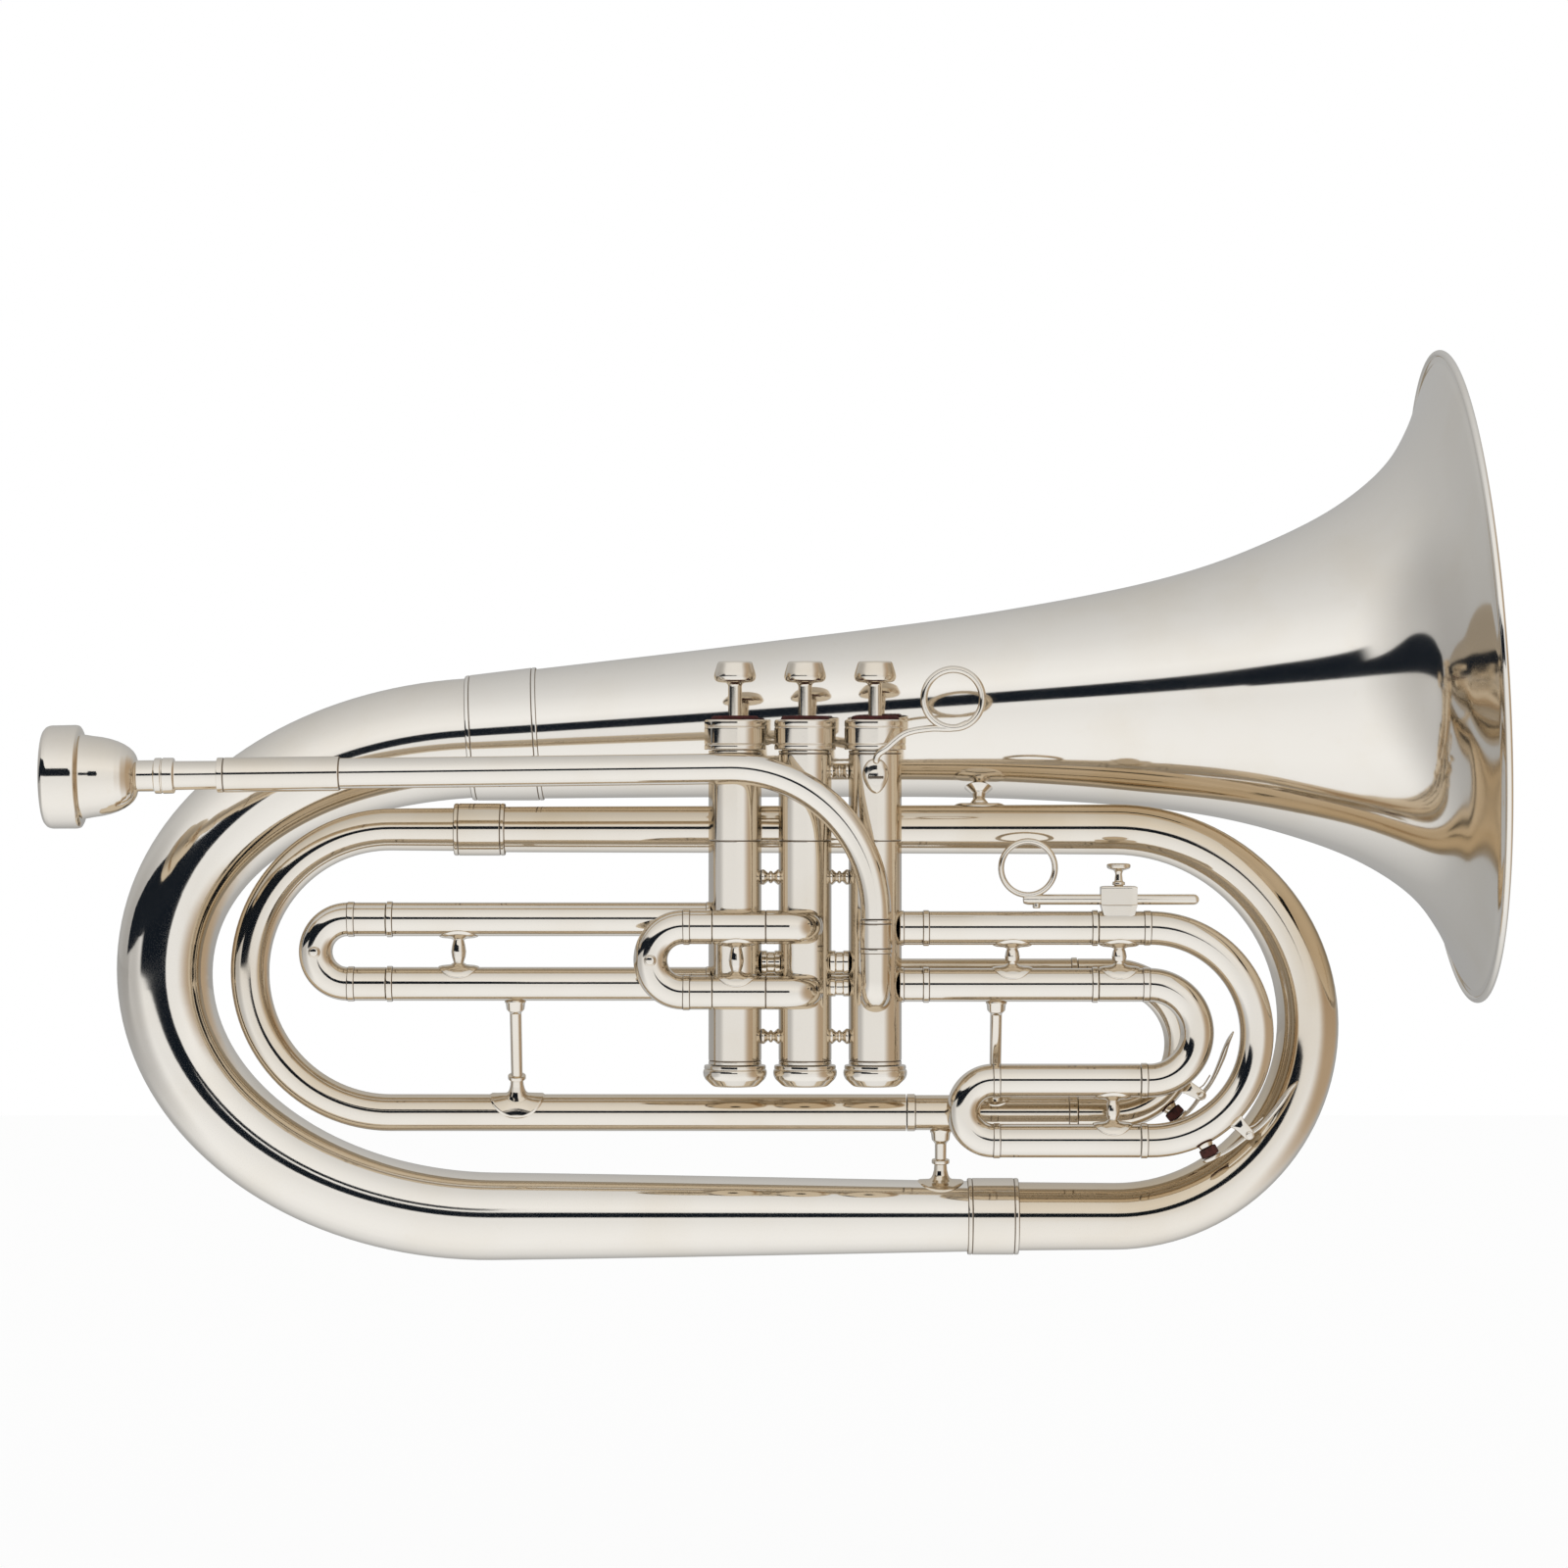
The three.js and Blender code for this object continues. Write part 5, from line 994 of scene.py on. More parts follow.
class EUPH_OT_leadpipe(PieceOperator, bpy.types.Operator):
    """Make the mouthpiece, its receiver, the leadpipe and its elbow"""
    bl_idname = "euphonium.leadpipe"
    bl_label = "Mouthpiece and Leadpipe"

    def execute(self, context):
        axis = unit([math.cos(LEAD_TILT), 0, math.sin(LEAD_TILT)])
        end = RECEIVER_X[0] - RIM_X + 24.0
        share = np.sin(np.linspace(0.12, 0.97, 9) * np.pi / 2)
        body = [(15.9 + 21.1 * s, 6.2 + 10.1 * math.sqrt(1 - s * s)) for s in share]
        cup = [(27 * s, 3.2 + 9.7 * math.sqrt(1 - s * s)) for s in share[::-1]]
        outline = [(0.35, 14.2), (0.0, 16.2), (0.35, 18.6), (1.6, 20.0), (3.2, 20.5),
                   (13.0, 20.6), (14.4, 20.3), (15.2, 18.9), (15.4, 16.9), *body, (37.2, 6.2),
                   (44, 6.2), (44.1, 7.1), (46.6, 7.15), (46.8, 6.8), (47.2, 6.8), (47.4, 7.15),
                   (51.7, 7.1), (51.9, 5.75), (end, 5.5), (end, 4.9), (27.4, 3.2), *cup,
                   (1.3, 13.1)]
        rim = lead_point(RIM_X)
        self.silver("mouthpiece", [turned(rim, axis, outline, 96, 0.5, True)], "mouthpiece_body",
                    painted_reflection=0.25)
        track = Track(line(lead_point(RECEIVER_X[0]), lead_point(RECEIVER_X[1])))
        length = track.length
        step = length - 16.3
        outer = [(0, 6.95), *groove(2.6, 6.95), (length - 0.6, 6.9), (length - 0.3, 6.6, 1.0),
                 (length, 6.5, 1.0)]
        self.silver("mouthpiece_receiver", [tube(
            track, outer, [(0, 6.05), (step, 6.05), (step, 6.4), (length, 6.4)], 48)])
        bend_z = LEAD_Z - LEAD_BEND
        pipe = Track(line(lead_point(RECEIVER_X[1] - 16), lead_point(LEAD_BEND_X - 1)),
                     arc(LEAD_BEND_X, bend_z, LEAD_BEND, 90, 0, LEAD_Y),
                     line((LEAD_X, LEAD_Y, bend_z), (LEAD_X, LEAD_Y, LEAD_JOINT_Z)))
        self.silver("leadpipe", [tube(pipe, [(0, LEAD_RADIUS), (pipe.length, LEAD_RADIUS)],
                                      LEAD_RADIUS - TUBE_WALL, 48)], painted_reflection=0.2)
        turn = -LEAD_Y - CASING_RADIUS
        corner = (LEAD_X, LEAD_Y, ELBOW_Z + turn)
        elbow = Track(line((LEAD_X, LEAD_Y, LEAD_JOINT_Z - JOIN_GAP), corner),
                      quarter(corner, -UP, BACK, turn),
                      line((LEAD_X, -CASING_RADIUS, ELBOW_Z), (LEAD_X, -9.75, ELBOW_Z)))
        length = elbow.length
        outer = [(0, 6.3, 1.0), (0.4, 6.45), *groove(1.7, 6.45), *groove(11.5, 6.45), (13.2, 6.45),
                 (13.4, 6.1, 1.0), (13.8, 6.1), (length - 1.6, 5.75), (length, 6.3)]
        self.silver("leadpipe_elbow", [tube(elbow, outer, [(0, 5.5), (length, 5.0)], 48, RIGHT)])
        return {"FINISHED"}


# Receivers

def straight_receiver(valve_x, end_x, z, collars=()):
    """A receiver from a casing's side to its open end, flared where it is soldered on."""
    side = math.copysign(1, end_x - valve_x)
    start = valve_x + side * (CASING_RADIUS - 0.8)
    track = Track(line((start, 0, z), (end_x, 0, z)))
    width = sizes().collar_width / MM
    places = [abs(place - start) for place in collars] + [track.length - width / 2]
    outer = [(0, TUBE_RADIUS + 0.3), (1.5, TUBE_RADIUS + 0.3), (1.7, TUBE_RADIUS, 0.8),
             (2.1, TUBE_RADIUS), *collared(track.length, TUBE_RADIUS, places, width)[1:]]
    return tube(track, outer, TUBE_RADIUS - TUBE_WALL)


def elbow_receiver(valve_x, toward, depth, out_of, end_x, z, places=(), collar=False):
    """A receiver that leaves the front or back of a casing and turns to run beside the valves, with
    a groove above each place and a collar at its end."""
    turn = abs(depth) - CASING_RADIUS
    edge = np.array([valve_x, 0, z]) + toward * CASING_RADIUS
    corner = np.array([valve_x, depth, z]) + out_of * turn
    track = Track(line(edge - toward * 0.8, edge), quarter(edge, toward, out_of, turn),
                  line(corner, (end_x, depth, z)))
    outer = [(0, TUBE_RADIUS + 0.5), (1.2, TUBE_RADIUS)]
    for place in places:
        outer += groove(track.length - abs(end_x - place), TUBE_RADIUS)
    width = sizes().collar_width / MM
    ends = [track.length - width / 2] if collar else []
    outer += collared(track.length, TUBE_RADIUS, ends, width)[1:]
    return tube(track, outer, TUBE_RADIUS - TUBE_WALL, reference=UP)


def slide_brace(x, y, high_z, low_z):
    """A small turned stay with a ball, standing on a saucer bent over the lower tube."""
    gap = high_z - low_z - 2 * TUBE_RADIUS
    outline = between(gap, [
        (0, 0), (0, 2.6), (0, 5.2), (0, 7.8), (0.3, 7.7), (0.75, 6.2), (1.0, 3.2), (1.5, 2.1),
        (0.28 * gap, 2.6), (0.5 * gap, 3.0), (0.68 * gap, 2.7)], [
        (1.8, 2.0), (1.1, 3.2), (0.8, 6.4), (0.4, 8.0), (0, 8.2), (0, 5.5), (0, 2.8), (0, 0)])
    return fitted((x, y, high_z), TUBE_RADIUS, (x, y, low_z), TUBE_RADIUS, outline, (0.75, 1.0),
                  0.3)


class EUPH_OT_receivers(PieceOperator, bpy.types.Operator):
    """Make the fixed outer tubes that the slides run in"""
    bl_idname = "euphonium.receivers"
    bl_label = "Receivers"

    def pair(self, slide, levels, brace_x, brace_y, receiver):
        """A slide's high and low receivers, the low one with the brace between them."""
        high, low = (receiver(z) for z in levels)
        self.silver(f"{slide}_high_receiver", [high], node=f"{slide}_slide_high_receiver")
        self.silver(f"{slide}_low_receiver", [low, slide_brace(brace_x, brace_y, *levels)],
                    node=f"{slide}_slide_low_receiver")

    def execute(self, context):
        one, two, three = VALVE_X.values()
        self.pair("first", FIRST_Z, -138.9, 0,
                  lambda z: straight_receiver(one, FIRST_END_X, z))
        self.pair("second", SECOND_Z, -27.4, SECOND_Y, lambda z: elbow_receiver(
            two, -BACK, SECOND_Y, -RIGHT, SECOND_END_X, z, [-15.7]))
        self.pair("third", THIRD_Z, 83.1, 0,
                  lambda z: straight_receiver(three, THIRD_END_X, z, [48.5]))
        self.silver("tuning_high_receiver", [elbow_receiver(
            one, BACK, TUNING_Y, RIGHT, TUNING_END_X, TUNING_Z, collar=True)], painted_reflection=0.9)
        track = Track(line((TUNING_LOW_X, TUNING_Y, INNER_LOW_Z),
                           (TUNING_END_X, TUNING_Y, INNER_LOW_Z)))
        width = 3.4
        outer = collared(track.length, TUNING_LOW_RADIUS, [width / 2, track.length - width / 2],
                         width)
        self.silver("tuning_low_receiver", [tube(track, outer, TUBE_RADIUS - TUBE_WALL)],
                    painted_reflection=0.9)
        return {"FINISHED"}


# Slides

def slide_outline(length, first_leg, last_leg, ferrules):
    """Thin legs, then the full tube with low ferrules, each edged by fine grooves."""
    skin_rows = [(0, LEG_RADIUS), (first_leg, LEG_RADIUS)] if first_leg else []
    skin_rows += [(first_leg, TUBE_RADIUS)]
    for place in ferrules:
        low, high, top = place - 1.3, place + 1.3, TUBE_RADIUS + 0.3
        if low > first_leg + 0.5:
            skin_rows.append((low - 0.4, TUBE_RADIUS))
        skin_rows += [(low, TUBE_RADIUS, 1.0), (low + 0.12, top), (high - 0.12, top)]
        if high < length - last_leg - 0.2:
            skin_rows += [(high, TUBE_RADIUS, 1.0), (high + 0.4, TUBE_RADIUS)]
    skin_rows += [(length - last_leg, TUBE_RADIUS)]
    skin_rows += [(length - last_leg, LEG_RADIUS), (length, LEG_RADIUS)] if last_leg else []
    return skin_rows


def u_track(high_x, low_x, bow_x, y, high_z, low_z):
    """Leg, half circle, leg."""
    radius, middle = (high_z - low_z) / 2, (high_z + low_z) / 2
    end = 270 if bow_x < high_x else -90
    return Track(line((high_x, y, high_z), (bow_x, y, high_z)),
                 arc(bow_x, middle, radius, 90, end, y),
                 line((bow_x, y, low_z), (low_x, y, low_z)))


def slide_tube(track, first_leg, last_leg, ferrules):
    """A slide's tube of one bore. A leg's length is given without the gap at its joint."""
    first_leg, last_leg = (leg and leg + JOIN_GAP for leg in (first_leg, last_leg))
    outer = slide_outline(track.length, first_leg, last_leg, ferrules)
    return tube(track, outer, BORE_RADIUS)


def nipple(x, y, z):
    """The small knob on a bow's front."""
    outline = [(0, 0), (0, 2.6), (0.5, 2.2), (0.9, 1.7), (1.3, 1.9), (1.9, 1.6), (2.1, 0)]
    return turned((x, y - TUBE_RADIUS + 0.4, z), -BACK, outline, 32, 0.3)


class EUPH_OT_slides(PieceOperator, bpy.types.Operator):
    """Make the three valve slides and the tuning slide"""
    bl_idname = "euphonium.slides"
    bl_label = "Slides"

    def execute(self, context):
        edge = 1.3
        for name, end_x, leg, bow_x, y, (high, low) in (
                ("first", FIRST_END_X, FIRST_LEG, FIRST_BOW_X, 0, FIRST_Z),
                ("second", SECOND_END_X, SECOND_LEG, SECOND_BOW_X, SECOND_Y, SECOND_Z)):
            leg_x = end_x + leg
            track = u_track(leg_x, leg_x, bow_x, y, high, low)
            ferrule = leg_x - bow_x - edge
            self.silver(f"{name}_slide", [
                slide_tube(track, leg, leg, [ferrule, track.length - ferrule]),
                nipple(bow_x - (high - low) / 2, y, (high + low) / 2)], f"{name}_slide_body")
        leg_x = TUNING_END_X - TUNING_LEG
        track = u_track(leg_x, leg_x, TUNING_BOW_X, TUNING_Y, TUNING_Z, INNER_LOW_Z)
        self.silver("tuning_slide", [slide_tube(track, TUNING_LEG, TUNING_LEG, []),
                                     *key_mount("tuning")], "tuning_slide_body", painted_reflection=0.9)
        leg_x = THIRD_END_X - THIRD_LEG
        end_x = THIRD_JOINT_X - JOIN_GAP
        outer = u_track(leg_x, THIRD_JOINT_X, THIRD_BOW_X, 0, THIRD_Z[0], THIRD_BOTTOM_Z)
        back = u_track(end_x, end_x, THIRD_RETURN_X, 0, THIRD_RETURN_Z, THIRD_BOTTOM_Z)
        inner = u_track(leg_x, THIRD_JOINT_X, THIRD_INNER_X, 0, THIRD_Z[1], THIRD_RETURN_Z)
        for name, track, leg, first, last, more in (
                ("outer", outer, THIRD_LEG, THIRD_BOW_X - leg_x, 0, key_mount("third")),
                ("return", back, 0, end_x - THIRD_RETURN_X, end_x - THIRD_RETURN_X,
                 [slide_brace(123.4, 0, THIRD_RETURN_Z, THIRD_BOTTOM_Z)]),
                ("inner", inner, THIRD_LEG, THIRD_INNER_X - leg_x, 0,
                 [slide_brace(126, 0, *THIRD_Z)])):
            ferrules = [first - edge, track.length - (last - edge if last else edge)]
            self.silver(f"third_{name}_bow", [slide_tube(track, leg, 0, ferrules), *more],
                        "third_slide_body", f"third_slide_{name}_bow")
        return {"FINISHED"}


# Water keys. In a key's own frame: across runs back to the cork, out points away from the bow.

KEYS = {
    "third": (np.array([THIRD_BOW_X, 0, (THIRD_Z[0] + THIRD_BOTTOM_Z) / 2]), -45.5,
              (THIRD_Z[0] - THIRD_BOTTOM_Z) / 2),
    "tuning": (np.array([TUNING_BOW_X, TUNING_Y, (TUNING_Z + INNER_LOW_Z) / 2]), -30.0,
               (TUNING_Z - INNER_LOW_Z) / 2),
}
SEAT_TURN = 18.0
SEAT_RISE = 1.1
HINGE_RISE = 6.8
CORK_HEIGHT = 3.4
PIN_RADIUS = 0.8
HUB_RADIUS = 2.1
HUB_HALF = 1.7
EAR_GAP = 0.3
EAR_WIDTH = 1.3


def key_frame(name, turn=0.0):
    """The centre of the bow's bend, the directions across and out at the key's angle, and the
    distance of the bow's skin."""
    centre, angle, bend = KEYS[name]
    angle = math.radians(angle - turn)
    out = np.array([math.cos(angle), 0, math.sin(angle)])
    across = np.array([math.sin(angle), 0, -math.cos(angle)])
    return centre, across, out, bend + TUBE_RADIUS


def key_mount(name):
    """Two rounded ears, the hinge pin with its head, and the turned seat of the water hole."""
    centre, across, out, skin = key_frame(name)
    hinge = skin + HINGE_RISE
    parts = []
    for side in (-1, 1):
        low = side * (HUB_HALF + EAR_GAP)
        left = [(-3.3, skin - 1.6), (-2.6, skin + 1.2), (-2.2, hinge), (-1.2, hinge + 1.6)]
        right = [(-sway, rise) for sway, rise in left]
        outline = np.array([left[0], *right, *left[:0:-1]])
        parts.append(plate(centre, across, out, outline, low, low + side * EAR_WIDTH))
    pin = HUB_HALF + EAR_GAP + EAR_WIDTH
    head = [(-pin, 0), (-pin, PIN_RADIUS), (pin - 0.2, PIN_RADIUS), (pin - 0.1, 1.5),
            (pin + 0.5, 1.4), (pin + 0.7, 0.9), (pin + 0.7, 0)]
    parts.append(turned(centre + out * hinge, -BACK, head, 28, 0.2))
    seat_out = key_frame(name, SEAT_TURN)[2]
    top = skin + SEAT_RISE
    seat = [(skin - 1.5, 1.2), (skin - 1.5, 3.3), (skin + 0.2, 3.0), (top, 2.7), (top, 1.2)]
    parts.append(turned(centre, seat_out, seat, 32, 0.2, True))
    return parts


def plate(centre, across, out, outline, low, high):
    """A flat plate: an eased outline in the key's plane, carried from one depth to the other and
    drawn in a little at both faces."""
    edge = rounded(outline, 0.5, True)[:, :2]
    middle = edge.mean(0)
    depth = low + (high - low) * np.array([0, 0, 0.2, 0.8, 1, 1])
    scale = np.array([0, 0.93, 1, 1, 0.93, 0])[:, None, None]
    flat = middle + (edge - middle)[None] * scale
    return weave(centre + flat[..., :1] * across + flat[..., 1:] * out
                 + depth[:, None, None] * BACK, False)


def key_lever(name):
    """The lever: a strip whose middle line and half width follow the key from cup to thumb tip,
    domed across, with its hub and the cup over the cork."""
    centre, across, out, skin = key_frame(name)
    hinge = skin + HINGE_RISE
    cup_low = skin + SEAT_RISE + CORK_HEIGHT + 2 * JOIN_GAP
    cup_top = cup_low + 1.6
    turn = math.radians(SEAT_TURN)
    cup_x, cup_z = (cup_top - 0.4) * math.sin(turn), (cup_top - 0.4) * math.cos(turn)
    count, sides = 48, 24
    spine = through([(cup_x, cup_z), (cup_x * 0.55, (cup_z + hinge) / 2 + 0.6), (0, hinge + 0.2),
                     (-7, hinge + 1.0), (-16, hinge + 0.2), (-24, hinge - 1.2),
                     (-28.9, hinge - 1.4)], count)
    share = np.linspace(0, 1, count)
    half = np.interp(share, [0, 0.1, 0.3, 0.45, 0.8, 0.95, 1], [1.0, 1.3, 1.7, 1.7, 2.5, 1.9, 0.7])
    thick = np.interp(share, [0, 0.3, 0.5, 0.72, 0.9, 1], [0.7, 0.85, 0.8, 1.15, 0.7, 0.3])
    slope = unit(np.gradient(spine, axis=0))
    normal = np.stack([-slope[:, 1], slope[:, 0]], -1)
    sway, lift = (size[:, None] * np.sign(wave) * np.abs(wave) ** 0.7 for size, wave in (
        (half, np.cos(circle(sides))[None]), (thick, np.sin(circle(sides))[None])))
    own = spine[:, None] + normal[:, None] * lift[..., None]
    grid = centre + own[..., :1] * across + own[..., 1:] * out + sway[..., None] * BACK
    ends = np.repeat(grid.mean(1, keepdims=True), sides, 1)
    parts = [weave(np.concatenate([ends[:1], grid, ends[-1:]]), False)]
    outline = mirrored([(-HUB_HALF, PIN_RADIUS + 0.3), (-HUB_HALF, HUB_RADIUS)])
    parts.append(turned(centre + out * hinge, BACK, outline, 32, 0.25, True))
    seat_out = key_frame(name, SEAT_TURN)[2]
    cup = [(cup_low, 0), (cup_low, 4.0), (cup_low + 0.5, 4.1), (cup_top - 0.3, 3.8), (cup_top, 3.2),
           (cup_top, 0)]
    parts.append(turned(centre, seat_out, cup, 36, 0.3))
    thickness = sizes().key_spring / MM
    reach = [(1.2, hinge - 1.9), (-1.8, hinge - 2.0), (-4.5, hinge - 1.1), (-9.0, hinge - 0.9)]
    parts.append(wire([centre + a * across + b * out - 1.1 * BACK for a, b in reach],
                      thickness / 2, 10))
    return parts


class EUPH_OT_water_keys(PieceOperator, bpy.types.Operator):
    """Make the two water keys with their corks"""
    bl_idname = "euphonium.water_keys"
    bl_label = "Water Keys"

    def execute(self, context):
        for name in KEYS:
            self.silver(f"{name}_water_key", key_lever(name), f"{name}_key_body", look="trim")
            centre, _, out, skin = key_frame(name, SEAT_TURN)
            foot = skin + SEAT_RISE + JOIN_GAP
            top = foot + CORK_HEIGHT
            cork = [(foot, 0), (foot, 3.3), (foot + 0.3, 3.6), (top - 0.3, 3.7), (top, 3.5),
                    (top, 0)]
            dress(f"fine_{name}_key_cork", [turned(centre, out, cork, 40, 0.25)],
                  f"{name}_key_body", [f"{name}_key_cork"], piece_finishes()["cork"])
        return {"FINISHED"}


# Throw

ROD_Z = 1.2
ROD_RADIUS = 2.1
RING_X = 89.4
BLOCK_X = (118.5, 133.0)


class EUPH_OT_throw(PieceOperator, bpy.types.Operator):
    """Make the third slide throw: block, ring on its rod, thumb screw"""
    bl_idname = "euphonium.throw"
    bl_label = "Third Slide Throw"

    def execute(self, context):
        self.silver("throw_block", [throw_cradle()], "third_slide_body", look="trim")
        shaft = wire([(RING_X, 0, ROD_Z), (158, 0, ROD_Z)], ROD_RADIUS, 24)
        foot = turned((92.8, 0, -2.3), UP, [(0, 0), (0, 1.3), (0.4, 1.6), (3.4, 1.5), (3.4, 0)],
                      24, 0.3)
        ring = ring_wire((RING_X, 0, 13.8), 10.8, 1.2, 1.25)
        collar = turned((RING_X, 0, ROD_Z), RIGHT, [(-2.1, 0), (-1.9, 1.6), (0, 2.12), (4.6, 2.12),
                                                    (5.4, 1.9), (5.4, 0)], 32, 0.4)
        self.silver("throw_ring_rod", [ring, shaft, foot, collar], "throw_ring_body", look="trim")
        screw = [(3.65, 0), (3.65, 1.75), (7.0, 1.75), (7.05, 2.6), (8.3, 2.5), (8.5, 1.7),
                 (11.6, 1.35), (12.9, 1.9), (13.4, 3.8), (13.9, 4.7), (15.1, 4.8), (15.5, 4.4),
                 (15.7, 3.2), (15.7, 0)]
        self.silver("throw_thumb_screw", [turned((sum(BLOCK_X) / 2, 0, 0), UP, screw, 48, 0.4)],
                    "thumb_screw_body", look="trim")
        return {"FINISHED"}


def throw_cradle():
    """The block: each cross section over X is an eased box that stands on the slide tube by an arch
    of the tube's radius. Towards its feet the block grows shorter along the tube."""
    top, half = 6.7, 4.6
    radius = TUBE_RADIUS + JOIN_GAP
    angle = np.radians(np.linspace(-42, 42, 19))
    arch = np.stack([radius * np.sin(angle), THIRD_Z[0] + radius * np.cos(angle)], -1)
    right = [(half, -6.0), (half, -1.0), (half - 0.25, -0.8), (half, -0.6), (half, top - 0.1)]
    left = [(-y, z) for y, z in right[::-1]]
    ring = rounded(np.vstack([arch, right, [(0, top)], left]), 0.7, True)[:, :2]
    middle = np.array([0, 1.5])
    t = np.array([0, 0, 0.05, 0.16, 0.84, 0.95, 1, 1])[:, None]
    scale = np.array([0, 0.93, 0.985, 1, 1, 0.985, 0.93, 0])[:, None, None]
    flat = middle + (ring - middle)[None] * scale
    taper = np.clip((-1.0 - flat[..., 1]) / 6.0, 0, 1) ** 2 * 2.6
    x = BLOCK_X[0] + (BLOCK_X[1] - BLOCK_X[0]) * t + np.where(t < 0.5, taper, -taper)
    return weave(np.stack([x, flat[..., 0], flat[..., 1]], -1), False)


# Branch

def widening(track, places, radii, sides=72):
    """A conical tube whose radius passes smoothly through the given ones."""
    outer = eased(places, radii)
    inner = outer - np.array([0, BOW_WALL])
    return carried(track, follow(track, [*outer, *inner[::-1]], True), sides)


def sleeve(start, end, radii, sides=72):
    """A ferrule over a joint, with a bead and a groove at each end."""
    track = Track(line(start, end))
    length, half = track.length, track.length / 2
    first, near, far, last = (radius + JOIN_GAP for radius in radii)
    slope = (last - first) / length

    def skin(place, more=0.0, *seam):
        """A row of the outline: the ferrule's slope and wall, and what stands out more."""
        return place, first + slope * place + FERRULE_WALL + more, *seam

    outer = [skin(0, -0.3, 1.0), skin(0.5), skin(1.6), skin(1.75, -0.25, 0.8),
             skin(1.95, -0.25, 0.8), skin(2.1), skin(length - 2.1),
             skin(length - 1.95, -0.25, 0.8), skin(length - 1.75, -0.25, 0.8),
             skin(length - 1.6), skin(length - 0.5), skin(length, -0.3, 1.0)]
    inner = [(0, first), (half, near), (half + 0.01, far), (length, last)]
    return tube(track, outer, inner, sides, BACK, 0.3)


class EUPH_OT_branch(PieceOperator, bpy.types.Operator):
    """Make the widening bows and the ferrules that join them"""
    bl_idname = "euphonium.branch"
    bl_label = "Branch"

    def execute(self, context):
        x, z, bend = INNER_BOW
        track = Track(line((TUNING_LOW_X - JOIN_GAP, TUNING_Y, INNER_LOW_Z),
                           (x, TUNING_Y, INNER_LOW_Z)),
                      arc(x, z, bend, -90, -270, TUNING_Y, BRANCH_Y),
                      line((x, BRANCH_Y, FRONT_TOP_Z),
                           (TOP_JOINT_X - JOIN_GAP, BRANCH_Y, FRONT_TOP_Z)))
        low, high, length = track.joints
        self.silver("inner_bow", [widening(track, [0, low, (low + high) / 2, length],
                                           INNER_RADII)], painted_reflection=0.85)
        x, z, bend = FRONT_BOW
        track = Track(line((TOP_JOINT_X, BRANCH_Y, FRONT_TOP_Z), (x, BRANCH_Y, FRONT_TOP_Z)),
                      arc(x, z, bend, 90, -90, BRANCH_Y),
                      line((x, BRANCH_Y, FRONT_LOW_Z), (LOW_JOINT_X, BRANCH_Y, FRONT_LOW_Z)))
        top, bottom, length = track.joints
        self.silver("front_bow", [widening(track, [0, top, (top + bottom) / 2, length],
                                           FRONT_RADII)], painted_reflection=1.0)
        start = np.array([LOW_JOINT_X - JOIN_GAP, BRANCH_Y, FRONT_LOW_Z])
        corner = np.array([BACK_CORNER_X, BRANCH_Y, FRONT_LOW_Z])
        end = BELL_THROAT - BELL_AXIS * (BELL_FERRULE / 2 + JOIN_GAP)
        rising = unit([0, (BELL_THROAT[1] - BRANCH_Y) / 2, end[2] - corner[2]])
        track = Track(line(start, corner), sweeping_quarter(corner, -RIGHT, BACK_LEFT, rising),
                      sweeping_quarter(BACK_LEFT, rising, end, BELL_AXIS),
                      line(end, BELL_THROAT - BELL_AXIS * JOIN_GAP))
        self.silver("back_bow", [widening(track, [0, *track.joints], BACK_RADII, 96)],
                    painted_reflection=0.12)
        # The last column is each ferrule's share of painted warm reflection
        for name, low_x, high_x, z, narrow, wide, stepped, painted_reflection in (
                ("top", -142.2, -121.5, FRONT_TOP_Z, INNER_RADII[-1], FRONT_RADII[0], 1, 0.9),
                ("bottom", 65.9, 86.6, FRONT_LOW_Z, FRONT_RADII[-1], BACK_RADII[0], 2, 0.5)):
            radii = [wide + JOIN_GAP] * 4
            radii[stepped] = narrow
            self.silver(f"{name}_ferrule", [sleeve(
                (low_x, BRANCH_Y, z), (high_x, BRANCH_Y, z), radii)], painted_reflection=painted_reflection)
        half = BELL_FERRULE / 2
        self.silver("bell_ferrule", [sleeve(
            BELL_THROAT - BELL_AXIS * half, BELL_THROAT + BELL_AXIS * half,
            [BACK_RADII[-1], BACK_RADII[-1], bell_radius(BELL_LENGTH),
             bell_radius(BELL_LENGTH - half) + JOIN_GAP], 96)], painted_reflection=0.0)
        return {"FINISHED"}


# Bell

def bell_curve(count=140):
    """The flare, from rim to throat: a spline through the measured shares, its knots the running
    sums of the square roots of the chords."""
    shares = np.array(BELL_FLARE, float) * [BELL_LENGTH, BELL_RIM]
    chords = np.linalg.norm(np.diff(shares, axis=0), axis=1)
    knots = running(chords ** 0.5)
    return spline(knots, shares, np.gradient(shares, knots, axis=0),
                  np.linspace(0, knots[-1], count))


def bell_radius(place):
    """The bell's outer radius at a distance from its rim."""
    return float(np.interp(place, *bell_curve().T))


